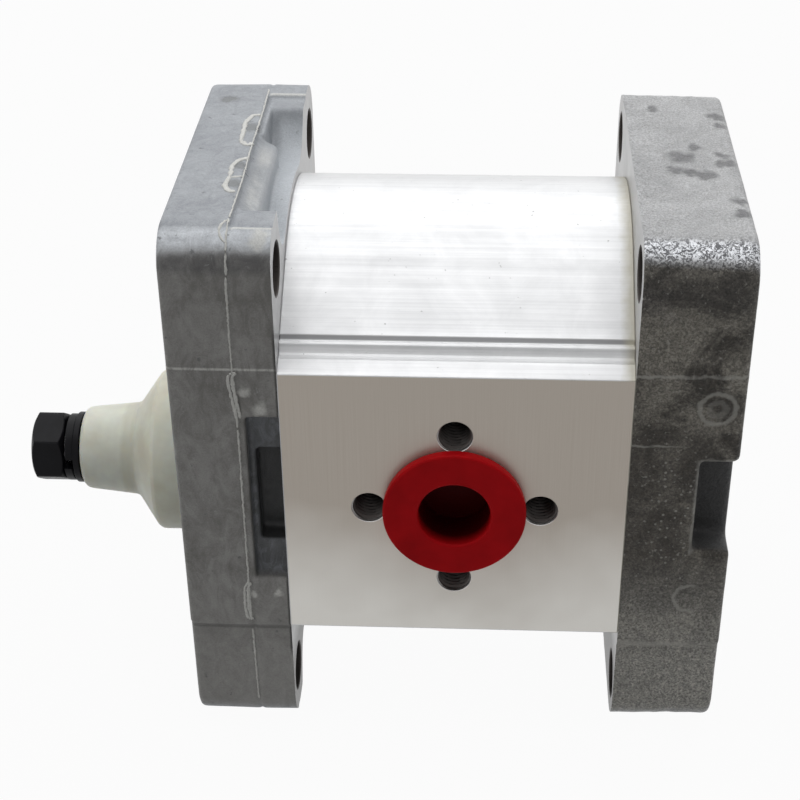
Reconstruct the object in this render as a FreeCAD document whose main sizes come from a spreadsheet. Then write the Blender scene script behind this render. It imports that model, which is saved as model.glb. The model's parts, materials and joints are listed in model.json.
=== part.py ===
import FreeCAD, Part
import math
import os
import Sketcher

# External gear pump, standing on the lower edges of its two covers.
# Millimetres. +X runs from the mounting face to the rear, so the shaft points to -X.
# The inlet looks to -Y, the outlet to +Y, and +Z is up.
# The origin is the middle of the four mounting holes, on the front cover's outer face.

SIZES = {
    # gears
    "gear_module": 2.7,
    "gear_teeth": 12.0,
    "pressure_angle": 25.0,
    "gear_width": 32.0,
    "tooth_addendum": 0.95,
    "tooth_dedendum": 1.2,
    "tooth_thinning": 0.2,
    "tip_clearance": 0.1,
    "side_clearance": 0.05,
    # shafts and bushes
    "journal_diameter": 19.0,
    "journal_clearance": 0.05,
    "shaft_end_gap": 0.6,
    "bush_wall": 1.5,
    "bush_setback": 2.5,
    "shaft_reach": 46.0,
    "thread_diameter": 12.0,
    "thread_length": 15.0,
    "taper_length": 25.0,
    "taper_ratio": 8.0,
    "key_diameter": 13.0,
    "key_width": 3.0,
    "key_proud": 1.2,
    "key_height": 5.0,
    "edge_break": 0.8,
    # nut, washers and shaft protector
    "nut_flats": 17.0,
    "nut_thickness": 8.4,
    "nut_turn": 22.0,
    "nut_clearance": 0.05,
    "spring_washer_thickness": 2.6,
    "spring_washer_outer": 17.6,
    "spring_washer_slit": 1.6,
    "flat_washer_thickness": 1.6,
    "flat_washer_outer": 18.6,
    "protector_skirt_wall": 3.05,
    "protector_skirt_length": 10.5,
    "protector_cone_end": 18.2,
    "protector_nose_root": 12.3,
    "protector_nose_tip": 10.7,
    "protector_wall": 2.0,
    "protector_round": 1.6,
    "protector_gap": 0.3,
    # covers
    "ear_spacing_side": 76.0,
    "ear_spacing_up": 114.0,
    "ear_margin_side": 10.0,
    "front_margin_up": 12.6,
    "rear_margin_up": 10.7,
    "ear_hole": 12.5,
    "ear_boss": 9.5,
    "cover_corner": 9.5,
    "cover_thickness": 25.0,
    "cover_edge_round": 1.3,
    "step_half_height": 38.7,
    "step_depth": 1.0,
    "step_slope": 2.2,
    "plate_thickness": 17.5,
    "rim_band": 3.0,
    "pocket_floor": 2.0,
    "pocket_corner": 7.0,
    "ledge_thickness": 3.2,
    "ledge_drop": 4.0,
    "ledge_length": 35.0,
    "ledge_round": 1.4,
    "side_pocket_height": 47.5,
    "side_pocket_depth": 4.5,
    "side_recess_height": 26.0,
    "side_recess_depth": 10.0,
    "side_recess_floor": 1.0,
    "rear_recess_height": 25.0,
    "rear_recess_depth": 9.0,
    "rear_recess_width": 9.5,
    "pilot_diameter": 36.5,
    "pilot_height": 8.0,
    "shaft_bore_clearance": 0.5,
    # shaft seal
    "seal_section": 5.5,
    "seal_width": 7.0,
    "seal_shell": 1.2,
    "lip_clearance": 0.05,
    "spring_wire": 1.2,
    "ring_thickness": 1.2,
    "ring_groove_depth": 0.8,
    "ring_width": 3.3,
    "ring_gap": 8.0,
    # body
    "body_length": 80.0,
    "crown_wall": 23.9,
    "flank_angle": 33.5,
    "groove_place": 8.6,
    "groove_width": 2.0,
    "groove_depth": 1.5,
    "cove_place": 6.4,
    "cove_radius": 4.0,
    "chamfer_run": 3.5,
    "chamfer_rise": 2.0,
    "shoulder_drop": 5.6,
    # inlet and outlet
    "port_end": 4.5,
    "inlet_bore": 20.0,
    "inlet_circle": 40.0,
    "inlet_stud": 6.8,
    "inlet_stud_depth": 17.0,
    "outlet_bore": 15.0,
    "outlet_circle": 30.0,
    "outlet_stud": 5.0,
    "outlet_stud_depth": 13.0,
    "stud_chamfer": 0.7,
    "plug_clearance": 0.3,
    "plug_seat_gap": 0.1,
    "plug_flange": 3.0,
    "plug_stem": 10.0,
    "plug_wall": 1.3,
    "plug_floor": 1.5,
    "inlet_plug_outer": 33.0,
    "outlet_plug_outer": 24.4,
    "plug_round": 0.9,
    # seals between the body and the covers
    "body_seal_offset": 3.4,
    "body_seal_width": 2.6,
    "body_seal_depth": 1.9,
    "pressure_seal_inner": 14.2,
    "pressure_seal_outer": 16.7,
    "backup_width": 1.0,
    "pressure_seal_depth": 2.2,
    "pressure_seal_half_angle": 100.0,
    # fasteners
    "bolt_spacing_side": 64.0,
    "bolt_spacing_up": 64.0,
    "bolt_diameter": 8.0,
    "bolt_hole": 8.6,
    "bolt_grip_in_cover": 14.0,
    "bolt_head": 13.0,
    "bolt_head_height": 8.0,
    "bolt_socket": 6.0,
    "bolt_socket_depth": 4.0,
    "bolt_counterbore": 14.4,
    "bolt_counterbore_depth": 10.0,
    "bolt_washer": 14.0,
    "bolt_washer_thickness": 1.2,
    "dowel_diameter": 6.0,
    "dowel_length": 14.0,
    "dowel_wall": 9.0,
    # how far a cutting outline runs past the piece
    "overcut": 1.0,
}
# Lengths closer than this count as equal when edges are picked.
TOLERANCE = 0.01
# Straight steps that one tooth flank is drawn through.
FLANK_STEPS = 8

doc = FreeCAD.newDocument("gear_pump")
sheet = doc.addObject("Spreadsheet::Sheet", "sizes")
for row, (alias, number) in enumerate(SIZES.items(), start=1):
    sheet.set(f"A{row}", alias)
    sheet.set(f"B{row}", str(number))
    sheet.setAlias(f"B{row}", alias)
doc.recompute()


class Size:
    """A number together with the sheet expression that gives it."""

    def __init__(self, value, text):
        self.value = value
        self.text = text

    def __add__(self, other):
        other = as_size(other)
        return Size(self.value + other.value, f"({self.text} + {other.text})")

    def __radd__(self, other):
        return as_size(other) + self

    def __sub__(self, other):
        other = as_size(other)
        return Size(self.value - other.value, f"({self.text} - {other.text})")

    def __rsub__(self, other):
        return as_size(other) - self

    def __mul__(self, other):
        other = as_size(other)
        return Size(self.value * other.value, f"({self.text} * {other.text})")

    def __rmul__(self, other):
        return as_size(other) * self

    def __truediv__(self, other):
        other = as_size(other)
        return Size(self.value / other.value, f"({self.text} / {other.text})")

    def __neg__(self):
        return as_size(0) - self


def as_size(number):
    if isinstance(number, Size):
        return number
    return Size(float(number), str(float(number)))


def size(alias):
    return Size(float(sheet.get(alias)), f"sizes.{alias}")


def cosine(angle):
    return Size(math.cos(math.radians(angle.value)), f"cos({angle.text} * 1deg)")


def sine(angle):
    return Size(math.sin(math.radians(angle.value)), f"sin({angle.text} * 1deg)")


def root(number):
    return Size(math.sqrt(number.value), f"sqrt({number.text})")


def bind(thing, place, number):
    """Ties one property or constraint of a thing to the sheet."""
    thing.setExpression(place, as_size(number).text)


# Places and sizes that several pieces share.
AXIS_HEIGHT = size("gear_module") * size("gear_teeth") / 2
TIP_RADIUS = AXIS_HEIGHT + size("gear_module") * size("tooth_addendum")
CHAMBER_RADIUS = TIP_RADIUS + size("tip_clearance")
COVER_HALF_WIDTH = size("ear_spacing_side") / 2 + size("ear_margin_side")
FRONT_HALF_HEIGHT = size("ear_spacing_up") / 2 + size("front_margin_up")
REAR_HALF_HEIGHT = size("ear_spacing_up") / 2 + size("rear_margin_up")
COVER_THICKNESS = size("cover_thickness")
BODY_LENGTH = size("body_length")
BODY_START = COVER_THICKNESS
BODY_END = BODY_START + BODY_LENGTH
BODY_MIDDLE = BODY_START + BODY_LENGTH / 2
PUMP_END = BODY_END + COVER_THICKNESS
CROWN_RADIUS = CHAMBER_RADIUS + size("crown_wall")
PORT_REACH = COVER_HALF_WIDTH
GEAR_START = BODY_MIDDLE - size("gear_width") / 2
BLOCK_LENGTH = (BODY_LENGTH - size("gear_width")) / 2 - size("side_clearance")
JOURNAL_RADIUS = size("journal_diameter") / 2
BUSH_BORE_RADIUS = JOURNAL_RADIUS + size("journal_clearance")
BUSH_OUTER_RADIUS = BUSH_BORE_RADIUS + size("bush_wall")
THREAD_RADIUS = size("thread_diameter") / 2
NUT_START = -size("shaft_reach")
SPRING_WASHER_START = NUT_START + size("nut_thickness")
FLAT_WASHER_START = SPRING_WASHER_START + size("spring_washer_thickness")
PROTECTOR_TIP = FLAT_WASHER_START + size("flat_washer_thickness") + size("protector_gap")
SEAL_RADIUS = JOURNAL_RADIUS + size("seal_section")
SHAFT_BORE_RADIUS = JOURNAL_RADIUS + size("shaft_bore_clearance")
RING_RADIUS = SEAL_RADIUS + size("ring_groove_depth")
RING_START = -size("ring_thickness")
BODY_SEAL_RADIUS = CHAMBER_RADIUS + size("body_seal_offset")
BOLT_SEAT = PUMP_END - size("bolt_counterbore_depth")
BOLT_END = COVER_THICKNESS - size("bolt_grip_in_cover")
DOWEL_HEIGHT = AXIS_HEIGHT + CROWN_RADIUS - size("dowel_wall")


def new_body(label):
    body = doc.addObject("PartDesign::Body", label)
    body.Label = label
    return body


def new_sketch(body, name, plane, offset=0):
    """A sketch on one of the body's own origin planes, moved along its normal."""
    sketch = body.newObject("Sketcher::SketchObject", f"{body.Label}_{name}")
    face = [f for f in body.Origin.OriginFeatures if f.Role == plane][0]
    sketch.AttachmentSupport = [(face, "")]
    sketch.MapMode = "FlatFace"
    bind(sketch, "AttachmentOffset.Base.z", offset)
    return sketch


def constrain(sketch, kind, *items):
    """Adds a driven constraint; the last item is its size."""
    *where, number = items
    number = as_size(number)
    index = sketch.addConstraint(Sketcher.Constraint(kind, *where, number.value))
    sketch.setExpression(f"Constraints[{index}]", number.text)


def draw_circle(sketch, across, up, radius):
    across, up, radius = as_size(across), as_size(up), as_size(radius)
    centre = FreeCAD.Vector(across.value, up.value, 0)
    circle = sketch.addGeometry(Part.Circle(centre, FreeCAD.Vector(0, 0, 1), radius.value), False)
    constrain(sketch, "DistanceX", -1, 1, circle, 3, across)
    constrain(sketch, "DistanceY", -1, 1, circle, 3, up)
    constrain(sketch, "Radius", circle, radius)


def line(start, end):
    return ("line", start, end, None, None)


def arc(start, end, radius, turn):
    """A round stretch under half a turn; turn is 1 anticlockwise and -1 clockwise."""
    return ("arc", start, end, radius, turn)


def polygon(*corners):
    return [line(corners[i], corners[(i + 1) % len(corners)]) for i in range(len(corners))]


def rectangle(left, right, bottom, top):
    return polygon((left, bottom), (right, bottom), (right, top), (left, top))


def draw_outline(sketch, stretches):
    """Draws a closed outline whose corners and radii are all tied to the sheet."""
    ends = []
    for kind, start, end, radius, turn in stretches:
        a = FreeCAD.Vector(as_size(start[0]).value, as_size(start[1]).value, 0)
        b = FreeCAD.Vector(as_size(end[0]).value, as_size(end[1]).value, 0)
        if kind == "line":
            index = sketch.addGeometry(Part.LineSegment(a, b), False)
            ends.append((index, 1, 2))
            continue
        chord = b - a
        rise = math.sqrt(max(radius.value ** 2 - chord.Length ** 2 / 4, 0))
        left = FreeCAD.Vector(-chord.y, chord.x, 0) / chord.Length
        centre = (a + b) / 2 + left * rise * turn
        first, last = (a, b) if turn > 0 else (b, a)
        angles = [math.atan2((p - centre).y, (p - centre).x) for p in (first, last)]
        circle = Part.Circle(centre, FreeCAD.Vector(0, 0, 1), radius.value)
        index = sketch.addGeometry(Part.ArcOfCircle(circle, *angles), False)
        ends.append((index, 1, 2) if turn > 0 else (index, 2, 1))
    for place, (index, first, last) in enumerate(ends):
        following = ends[(place + 1) % len(ends)]
        sketch.addConstraint(Sketcher.Constraint("Coincident", index, last, following[0], following[1]))
    for (index, first, last), (kind, start, end, radius, turn) in zip(ends, stretches):
        constrain(sketch, "DistanceX", -1, 1, index, first, start[0])
        constrain(sketch, "DistanceY", -1, 1, index, first, start[1])
        if kind == "arc":
            constrain(sketch, "Radius", index, radius)


def volume(feature):
    return feature.Shape.Volume


def finish_feature(feature, before, grows):
    """Recomputes and makes sure that the feature added or removed material."""
    doc.recompute()
    change = volume(feature) - before
    if feature.State != ["Up-to-date"] or change * (1 if grows else -1) <= 0:
        raise RuntimeError(f"{feature.Name} did not change its solid: {feature.State} {change}")
    return feature


def pad(body, name, sketch, length, reverse=False):
    before = volume(body.Tip) if body.Tip else 0
    feature = body.newObject("PartDesign::Pad", f"{body.Label}_{name}")
    feature.Profile = sketch
    feature.Reversed = reverse
    bind(feature, "Length", length)
    return finish_feature(feature, before, True)


def pocket(body, name, sketch, length, reverse=False):
    before = volume(body.Tip)
    feature = body.newObject("PartDesign::Pocket", f"{body.Label}_{name}")
    feature.Profile = sketch
    feature.Reversed = reverse
    bind(feature, "Length", length)
    return finish_feature(feature, before, False)


def drill(body, name, sketch, diameter, depth, reverse=False):
    """Flat-bottomed holes at every circle of a sketch."""
    doc.recompute()
    before = volume(body.Tip)
    feature = body.newObject("PartDesign::Hole", f"{body.Label}_{name}")
    feature.Profile = sketch
    feature.ThreadType = "None"
    feature.DepthType = "Dimension"
    feature.DrillPoint = "Flat"
    feature.Reversed = reverse
    bind(feature, "Diameter", diameter)
    bind(feature, "Depth", depth)
    return finish_feature(feature, before, False)


def revolve(body, name, sketch):
    before = volume(body.Tip) if body.Tip else 0
    feature = body.newObject("PartDesign::Revolution", f"{body.Label}_{name}")
    feature.Profile = sketch
    feature.ReferenceAxis = (sketch, ["H_Axis"])
    feature.Angle = 360
    return finish_feature(feature, before, True)


def groove(body, name, sketch):
    before = volume(body.Tip)
    feature = body.newObject("PartDesign::Groove", f"{body.Label}_{name}")
    feature.Profile = sketch
    feature.ReferenceAxis = (sketch, ["H_Axis"])
    feature.Angle = 360
    return finish_feature(feature, before, False)


def mirror(body, name, original, plane):
    before = volume(body.Tip)
    feature = body.newObject("PartDesign::Mirrored", f"{body.Label}_{name}")
    feature.Originals = [original]
    feature.MirrorPlane = ([f for f in body.Origin.OriginFeatures if f.Role == plane][0], [""])
    body.Tip = feature
    grows = original.TypeId == "PartDesign::Pad"
    return finish_feature(feature, before, grows)


def round_edges(body, name, radius, wanted):
    base = body.Tip
    names = [f"Edge{n}" for n, edge in enumerate(base.Shape.Edges, start=1) if wanted(edge)]
    feature = body.newObject("PartDesign::Fillet", f"{body.Label}_{name}")
    feature.Base = (base, names)
    bind(feature, "Radius", radius)
    doc.recompute()
    if feature.State != ["Up-to-date"]:
        raise RuntimeError(f"{feature.Name} failed on {names}")
    return feature


def is_near(a, b):
    return abs(a - as_size(b).value) < TOLERANCE


def runs_along_x(edge):
    box = edge.BoundBox
    return edge.Curve.TypeId == "Part::GeomLine" and box.YLength < TOLERANCE and box.ZLength < TOLERANCE


def lies_at_x(edge, place):
    return edge.BoundBox.XLength < TOLERANCE and is_near(edge.BoundBox.XMin, place)


def four_places(side, up):
    return [(across * side / 2, height * up / 2) for across in (-1, 1) for height in (-1, 1)]


def racetrack(radius):
    """An oval round both gear axes."""
    right, up, tip = radius, AXIS_HEIGHT, AXIS_HEIGHT + radius
    return [
        line((right, -up), (right, up)),
        arc((right, up), (0, tip), radius, 1),
        arc((0, tip), (-right, up), radius, 1),
        line((-right, up), (-right, -up)),
        arc((-right, -up), (0, -tip), radius, 1),
        arc((0, -tip), (right, -up), radius, 1),
    ]


def ring_sector(inner, outer):
    """A C round the upper gear axis, open towards the inlet."""
    angle = size("pressure_seal_half_angle")

    def at(radius, turn):
        return (radius * cosine(angle), AXIS_HEIGHT + turn * radius * sine(angle))

    return [
        arc(at(outer, -1), (outer, AXIS_HEIGHT), outer, 1),
        arc((outer, AXIS_HEIGHT), at(outer, 1), outer, 1),
        line(at(outer, 1), at(inner, 1)),
        arc(at(inner, 1), (inner, AXIS_HEIGHT), inner, -1),
        arc((inner, AXIS_HEIGHT), at(inner, -1), inner, -1),
        line(at(inner, -1), at(outer, -1)),
    ]


def turned(label, corners, height, start=0):
    """A piece turned round an axis along X, from its half section (along, radius)."""
    body = new_body(label)
    sketch = new_sketch(body, "section", "XZ_Plane")
    draw_outline(sketch, polygon(*corners))
    revolve(body, "turning", sketch)
    bind(body, "Placement.Base.x", start)
    bind(body, "Placement.Base.z", height)
    return body


def ring(label, length, inner, outer, height, start):
    corners = ((0, inner), (length, inner), (length, outer), (0, outer))
    return turned(label, corners, height, start)


def cover_block(label, tall):
    """The block that both covers start from, with its stepped lower ears and four holes."""
    body = new_body(label)
    sketch = new_sketch(body, "outline", "YZ_Plane")
    half = COVER_HALF_WIDTH
    draw_outline(sketch, rectangle(-half, half, -tall, tall))
    pad(body, "block", sketch, COVER_THICKNESS)

    step = size("step_half_height")
    sunk = half - size("step_depth")
    beyond = half + size("step_depth")
    sketch = new_sketch(body, "step_outline", "YZ_Plane", COVER_THICKNESS)
    below = -tall - size("overcut")
    draw_outline(sketch, polygon(
        (-beyond, below), (-sunk, below), (-sunk, -step - size("step_slope")),
        (-half, -step), (-beyond, -step)))
    front_step = pocket(body, "front_step", sketch, COVER_THICKNESS)
    mirror(body, "back_step", front_step, "XZ_Plane")
    round_edges(body, "corners", size("cover_corner"), lambda edge: (
        runs_along_x(edge) and is_near(abs(edge.BoundBox.Center.z), tall)))

    sketch = new_sketch(body, "ear_places", "YZ_Plane", COVER_THICKNESS)
    for across, up in four_places(size("ear_spacing_side"), size("ear_spacing_up")):
        draw_circle(sketch, across, up, size("ear_hole") / 2)
    drill(body, "ear_holes", sketch, size("ear_hole"), COVER_THICKNESS)
    return body


def cut_body_seal_groove(body, face, reverse):
    """The oval groove for the seal between the body and a cover."""
    sketch = new_sketch(body, "seal_groove_outline", "YZ_Plane", face)
    draw_outline(sketch, racetrack(BODY_SEAL_RADIUS))
    draw_outline(sketch, racetrack(BODY_SEAL_RADIUS + size("body_seal_width")))
    pocket(body, "seal_groove", sketch, size("body_seal_depth"), reverse)


def drill_dowel_holes(body, name, face, reverse):
    sketch = new_sketch(body, f"{name}_places", "YZ_Plane", face)
    for side in (-1, 1):
        draw_circle(sketch, 0, side * DOWEL_HEIGHT, size("dowel_diameter") / 2)
    drill(body, name, sketch, size("dowel_diameter"), size("dowel_length") / 2, reverse)


def drill_bolt_holes(body, name, face, diameter, depth, reverse=False):
    sketch = new_sketch(body, f"{name}_places", "YZ_Plane", face)
    for across, up in four_places(size("bolt_spacing_side"), size("bolt_spacing_up")):
        draw_circle(sketch, across, up, diameter / 2)
    drill(body, name, sketch, diameter, depth, reverse)


def cut_top_pockets(body):
    """The cast pockets between the ears, above and below the body's crown."""
    side = size("ear_spacing_side") / 2 - size("ear_boss")
    floor = CROWN_RADIUS + size("pocket_floor")
    corner = AXIS_HEIGHT + root(floor * floor - side * side)
    above = FRONT_HALF_HEIGHT + size("overcut")
    depth = COVER_THICKNESS - size("plate_thickness")
    sketch = new_sketch(body, "top_pocket_outline", "YZ_Plane", COVER_THICKNESS)
    draw_outline(sketch, [
        line((side, corner), (side, above)),
        line((side, above), (-side, above)),
        line((-side, above), (-side, corner)),
        arc((-side, corner), (side, corner), floor, -1),
    ])
    top = pocket(body, "top_pocket", sketch, depth)
    mirror(body, "bottom_pocket", top, "XY_Plane")
    round_edges(body, "pocket_corners", size("pocket_corner"), lambda edge: (
        runs_along_x(edge) and is_near(abs(edge.BoundBox.Center.y), side)
        and is_near(abs(edge.BoundBox.Center.z), corner)))

    # the rounded ledge that stands in the front part of each pocket
    sketch = new_sketch(body, "ledge_outline", "YZ_Plane", size("plate_thickness"))
    draw_outline(sketch, rectangle(
        -side - size("overcut"), size("ledge_length") - side,
        AXIS_HEIGHT + floor - size("ledge_drop") - size("overcut"), FRONT_HALF_HEIGHT - size("ledge_drop")))
    ledge = pad(body, "top_ledge", sketch, size("ledge_thickness"))
    mirror(body, "bottom_ledge", ledge, "XY_Plane")
    edge_x = size("plate_thickness") + size("ledge_thickness")
    round_edges(body, "ledge_edges", size("ledge_round"), lambda edge: (
        lies_at_x(edge, edge_x) and edge.BoundBox.ZLength < TOLERANCE
        and is_near(abs(edge.BoundBox.Center.z), FRONT_HALF_HEIGHT - size("ledge_drop"))))


def cut_side_pockets(body):
    """The stepped pockets in the front and back sides, beside the body."""
    depth = COVER_THICKNESS - size("plate_thickness")
    recess_depth = depth - size("side_recess_floor")
    for name, height, reach, length in (
            ("side_pocket", size("side_pocket_height"), size("side_pocket_depth"), depth),
            ("side_recess", size("side_recess_height"), size("side_recess_depth"), recess_depth)):
        sketch = new_sketch(body, f"{name}_outline", "YZ_Plane", COVER_THICKNESS)
        draw_outline(sketch, rectangle(
            -COVER_HALF_WIDTH - size("overcut"), reach - COVER_HALF_WIDTH, -height / 2, height / 2))
        front = pocket(body, f"front_{name}", sketch, length)
        mirror(body, f"back_{name}", front, "XZ_Plane")


def round_outer_edges(body, face, tall):
    """Breaks the cast edges of a cover's outer face and of its bottom step."""
    round_edges(body, "outer_edges", size("cover_edge_round"), lambda edge: (
        lies_at_x(edge, face) and on_cover_rim(edge, tall)))


def on_cover_rim(edge, tall):
    box = edge.BoundBox
    near = size("rim_band").value
    side = min(abs(box.YMin), abs(box.YMax)) > COVER_HALF_WIDTH.value - near
    end = min(abs(box.ZMin), abs(box.ZMax)) > tall.value - near
    corner = box.YLength > near and box.ZLength > near and edge.Curve.TypeId == "Part::GeomCircle"
    inside = is_near(edge.Curve.Radius, size("cover_corner")) if corner else False
    return side or end or inside


def front_cover():
    body = cover_block("front_cover", FRONT_HALF_HEIGHT)
    round_outer_edges(body, 0, FRONT_HALF_HEIGHT)
    cut_top_pockets(body)
    cut_side_pockets(body)

    sketch = new_sketch(body, "pilot_outline", "YZ_Plane")
    draw_circle(sketch, 0, -AXIS_HEIGHT, size("pilot_diameter") / 2)
    pad(body, "pilot", sketch, size("pilot_height"), reverse=True)

    # shaft passage, seal seat and ring groove, each a circle on the drive axis
    for name, place, radius, length in (
            ("shaft_bore", COVER_THICKNESS, SHAFT_BORE_RADIUS, COVER_THICKNESS + size("pilot_height")),
            ("seal_seat", size("seal_width"), SEAL_RADIUS, size("seal_width") + size("pilot_height")),
            ("ring_groove", 0, RING_RADIUS, size("ring_thickness"))):
        sketch = new_sketch(body, f"{name}_outline", "YZ_Plane", place)
        draw_circle(sketch, 0, -AXIS_HEIGHT, radius)
        pocket(body, name, sketch, length)

    cut_body_seal_groove(body, COVER_THICKNESS, False)
    drill_dowel_holes(body, "dowel_holes", COVER_THICKNESS, False)
    drill_bolt_holes(body, "bolt_threads", COVER_THICKNESS, size("bolt_diameter"),
                     size("bolt_grip_in_cover"))
    return body


def rear_cover():
    body = cover_block("rear_cover", REAR_HALF_HEIGHT)
    round_outer_edges(body, COVER_THICKNESS, REAR_HALF_HEIGHT)
    sketch = new_sketch(body, "recess_outline", "YZ_Plane", COVER_THICKNESS)
    half = size("rear_recess_height") / 2
    draw_outline(sketch, rectangle(
        -COVER_HALF_WIDTH - size("overcut"), size("rear_recess_depth") - COVER_HALF_WIDTH, -half, half))
    front = pocket(body, "front_recess", sketch, size("rear_recess_width"))
    mirror(body, "back_recess", front, "XZ_Plane")
    cut_body_seal_groove(body, 0, True)
    drill_dowel_holes(body, "dowel_holes", 0, True)
    drill_bolt_holes(body, "bolt_holes", COVER_THICKNESS, size("bolt_hole"), COVER_THICKNESS)
    drill_bolt_holes(body, "bolt_counterbores", COVER_THICKNESS, size("bolt_counterbore"),
                     size("bolt_counterbore_depth"))
    bind(body, "Placement.Base.x", BODY_END)
    return body


def body_quarter():
    """The extruded outline from the port face up to the crown, on the +Y, +Z side."""
    angle = size("flank_angle")
    slope = sine(angle) / cosine(angle)
    crown = (CROWN_RADIUS * sine(angle), AXIS_HEIGHT + CROWN_RADIUS * cosine(angle))

    def flank(across):
        return crown[1] - (across - crown[0]) * slope

    groove_in = PORT_REACH - size("groove_place")
    groove_out = groove_in + size("groove_width")
    ridge = flank(groove_in) - size("groove_depth") / 2
    cove = PORT_REACH - size("cove_place")
    port_top = flank(groove_in) - size("shoulder_drop")
    chamfer = (PORT_REACH - size("chamfer_run"), port_top + size("chamfer_rise"))
    cove_top = (cove + size("groove_depth") / 4, ridge - size("groove_depth") / 4)
    return [
        line((PORT_REACH, port_top), chamfer),
        arc(chamfer, cove_top, size("cove_radius"), -1),
        line(cove_top, (groove_out, ridge)),
        line((groove_out, ridge), (groove_in + size("groove_width") / 2, ridge - size("groove_depth") / 2)),
        line((groove_in + size("groove_width") / 2, ridge - size("groove_depth") / 2),
             (groove_in, flank(groove_in))),
        line((groove_in, flank(groove_in)), crown),
    ]


def turned_about(stretches, across, up):
    """Mirrors a run of stretches; a single mirror also reverses its order."""
    moved = []
    for kind, start, end, radius, turn in stretches:
        first = (start[0] * across, start[1] * up)
        last = (end[0] * across, end[1] * up)
        moved.append((kind, first, last, radius, turn))
    if across * up > 0:
        return moved
    return [(kind, end, start, radius, turn) for kind, start, end, radius, turn in reversed(moved)]


def port_studs(body, name, reach, circle, stud, depth, reverse):
    """Four tapped holes round a port, on a pattern with one hole straight above the port."""
    sketch = new_sketch(body, f"{name}_place", "XZ_Plane", reach)
    bind(sketch, "AttachmentOffset.Base.x", BODY_LENGTH / 2)
    draw_circle(sketch, circle / 2, 0, stud / 2)
    hole = drill(body, name, sketch, stud, depth, reverse)
    before = volume(body.Tip)
    pattern = body.newObject("PartDesign::PolarPattern", f"{body.Label}_{name}_pattern")
    pattern.Originals = [hole]
    pattern.Axis = (sketch, ["N_Axis"])
    pattern.Angle = 360
    pattern.Occurrences = 4
    body.Tip = pattern
    finish_feature(pattern, before, False)


def pump_body():
    body = new_body("pump_body")
    sketch = new_sketch(body, "outline", "YZ_Plane")
    quarter = body_quarter()
    crown = quarter[-1][2]
    stretches = list(quarter)
    stretches.append(arc(crown, (-crown[0], crown[1]), CROWN_RADIUS, 1))
    stretches += turned_about(quarter, -1, 1)
    port_top = quarter[0][1]
    stretches.append(line((-port_top[0], port_top[1]), (-port_top[0], -port_top[1])))
    stretches += turned_about(quarter, -1, -1)
    stretches.append(arc((-crown[0], -crown[1]), (crown[0], -crown[1]), CROWN_RADIUS, 1))
    stretches += turned_about(quarter, 1, -1)
    stretches.append(line((port_top[0], -port_top[1]), port_top))
    draw_outline(sketch, stretches)
    pad(body, "extrusion", sketch, BODY_LENGTH)

    sketch = new_sketch(body, "chamber_outline", "YZ_Plane", BODY_LENGTH)
    draw_circle(sketch, 0, AXIS_HEIGHT, CHAMBER_RADIUS)
    upper = pocket(body, "upper_chamber", sketch, BODY_LENGTH)
    mirror(body, "lower_chamber", upper, "XY_Plane")

    for name, bore, reach, reverse in (
            ("inlet_port", size("inlet_bore"), PORT_REACH, False),
            ("outlet_port", size("outlet_bore"), -PORT_REACH, True)):
        sketch = new_sketch(body, f"{name}_outline", "XZ_Plane", reach)
        draw_circle(sketch, BODY_LENGTH / 2, 0, bore / 2)
        pocket(body, name, sketch, PORT_REACH - size("port_end"), reverse)

    port_studs(body, "inlet_studs", PORT_REACH, size("inlet_circle"), size("inlet_stud"),
               size("inlet_stud_depth"), False)
    port_studs(body, "outlet_studs", -PORT_REACH, size("outlet_circle"), size("outlet_stud"),
               size("outlet_stud_depth"), True)
    drill_bolt_holes(body, "bolt_holes", BODY_LENGTH, size("bolt_hole"), BODY_LENGTH)
    drill_dowel_holes(body, "rear_dowel_holes", BODY_LENGTH, False)
    drill_dowel_holes(body, "front_dowel_holes", 0, True)

    # break the mouth of every tapped hole
    mouths = (size("inlet_stud") / 2, size("outlet_stud") / 2)
    base = body.Tip
    names = [f"Edge{n}" for n, edge in enumerate(base.Shape.Edges, start=1) if is_port_mouth(edge, mouths)]
    chamfer = body.newObject("PartDesign::Chamfer", "pump_body_stud_mouths")
    chamfer.Base = (base, names)
    bind(chamfer, "Size", size("stud_chamfer"))
    finish_feature(chamfer, volume(base), False)
    bind(body, "Placement.Base.x", BODY_START)
    return body


def is_port_mouth(edge, radii):
    if edge.Curve.TypeId != "Part::GeomCircle":
        return False
    box = edge.BoundBox
    on_face = box.YLength < TOLERANCE and is_near(abs(box.YMin), PORT_REACH)
    return on_face and any(is_near(edge.Curve.Radius, radius) for radius in radii)


def bearing_block(label, start, seal_face, reverse):
    """A figure-of-eight block that carries two bushes and the pressure seal."""
    body = new_body(label)
    sketch = new_sketch(body, "lobe", "YZ_Plane")
    draw_circle(sketch, 0, AXIS_HEIGHT, CHAMBER_RADIUS - size("journal_clearance"))
    lobe = pad(body, "upper_lobe", sketch, BLOCK_LENGTH)
    mirror(body, "lower_lobe", lobe, "XY_Plane")
    sketch = new_sketch(body, "bush_seat", "YZ_Plane", BLOCK_LENGTH)
    draw_circle(sketch, 0, AXIS_HEIGHT, BUSH_OUTER_RADIUS)
    seat = pocket(body, "upper_bush_seat", sketch, BLOCK_LENGTH)
    mirror(body, "lower_bush_seat", seat, "XY_Plane")
    sketch = new_sketch(body, "seal_track", "YZ_Plane", seal_face)
    draw_outline(sketch, ring_sector(
        size("pressure_seal_inner") - size("backup_width"), size("pressure_seal_outer")))
    track = pocket(body, "upper_seal_track", sketch, size("pressure_seal_depth"), reverse)
    mirror(body, "lower_seal_track", track, "XY_Plane")
    bind(body, "Placement.Base.x", start)
    return body


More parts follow.
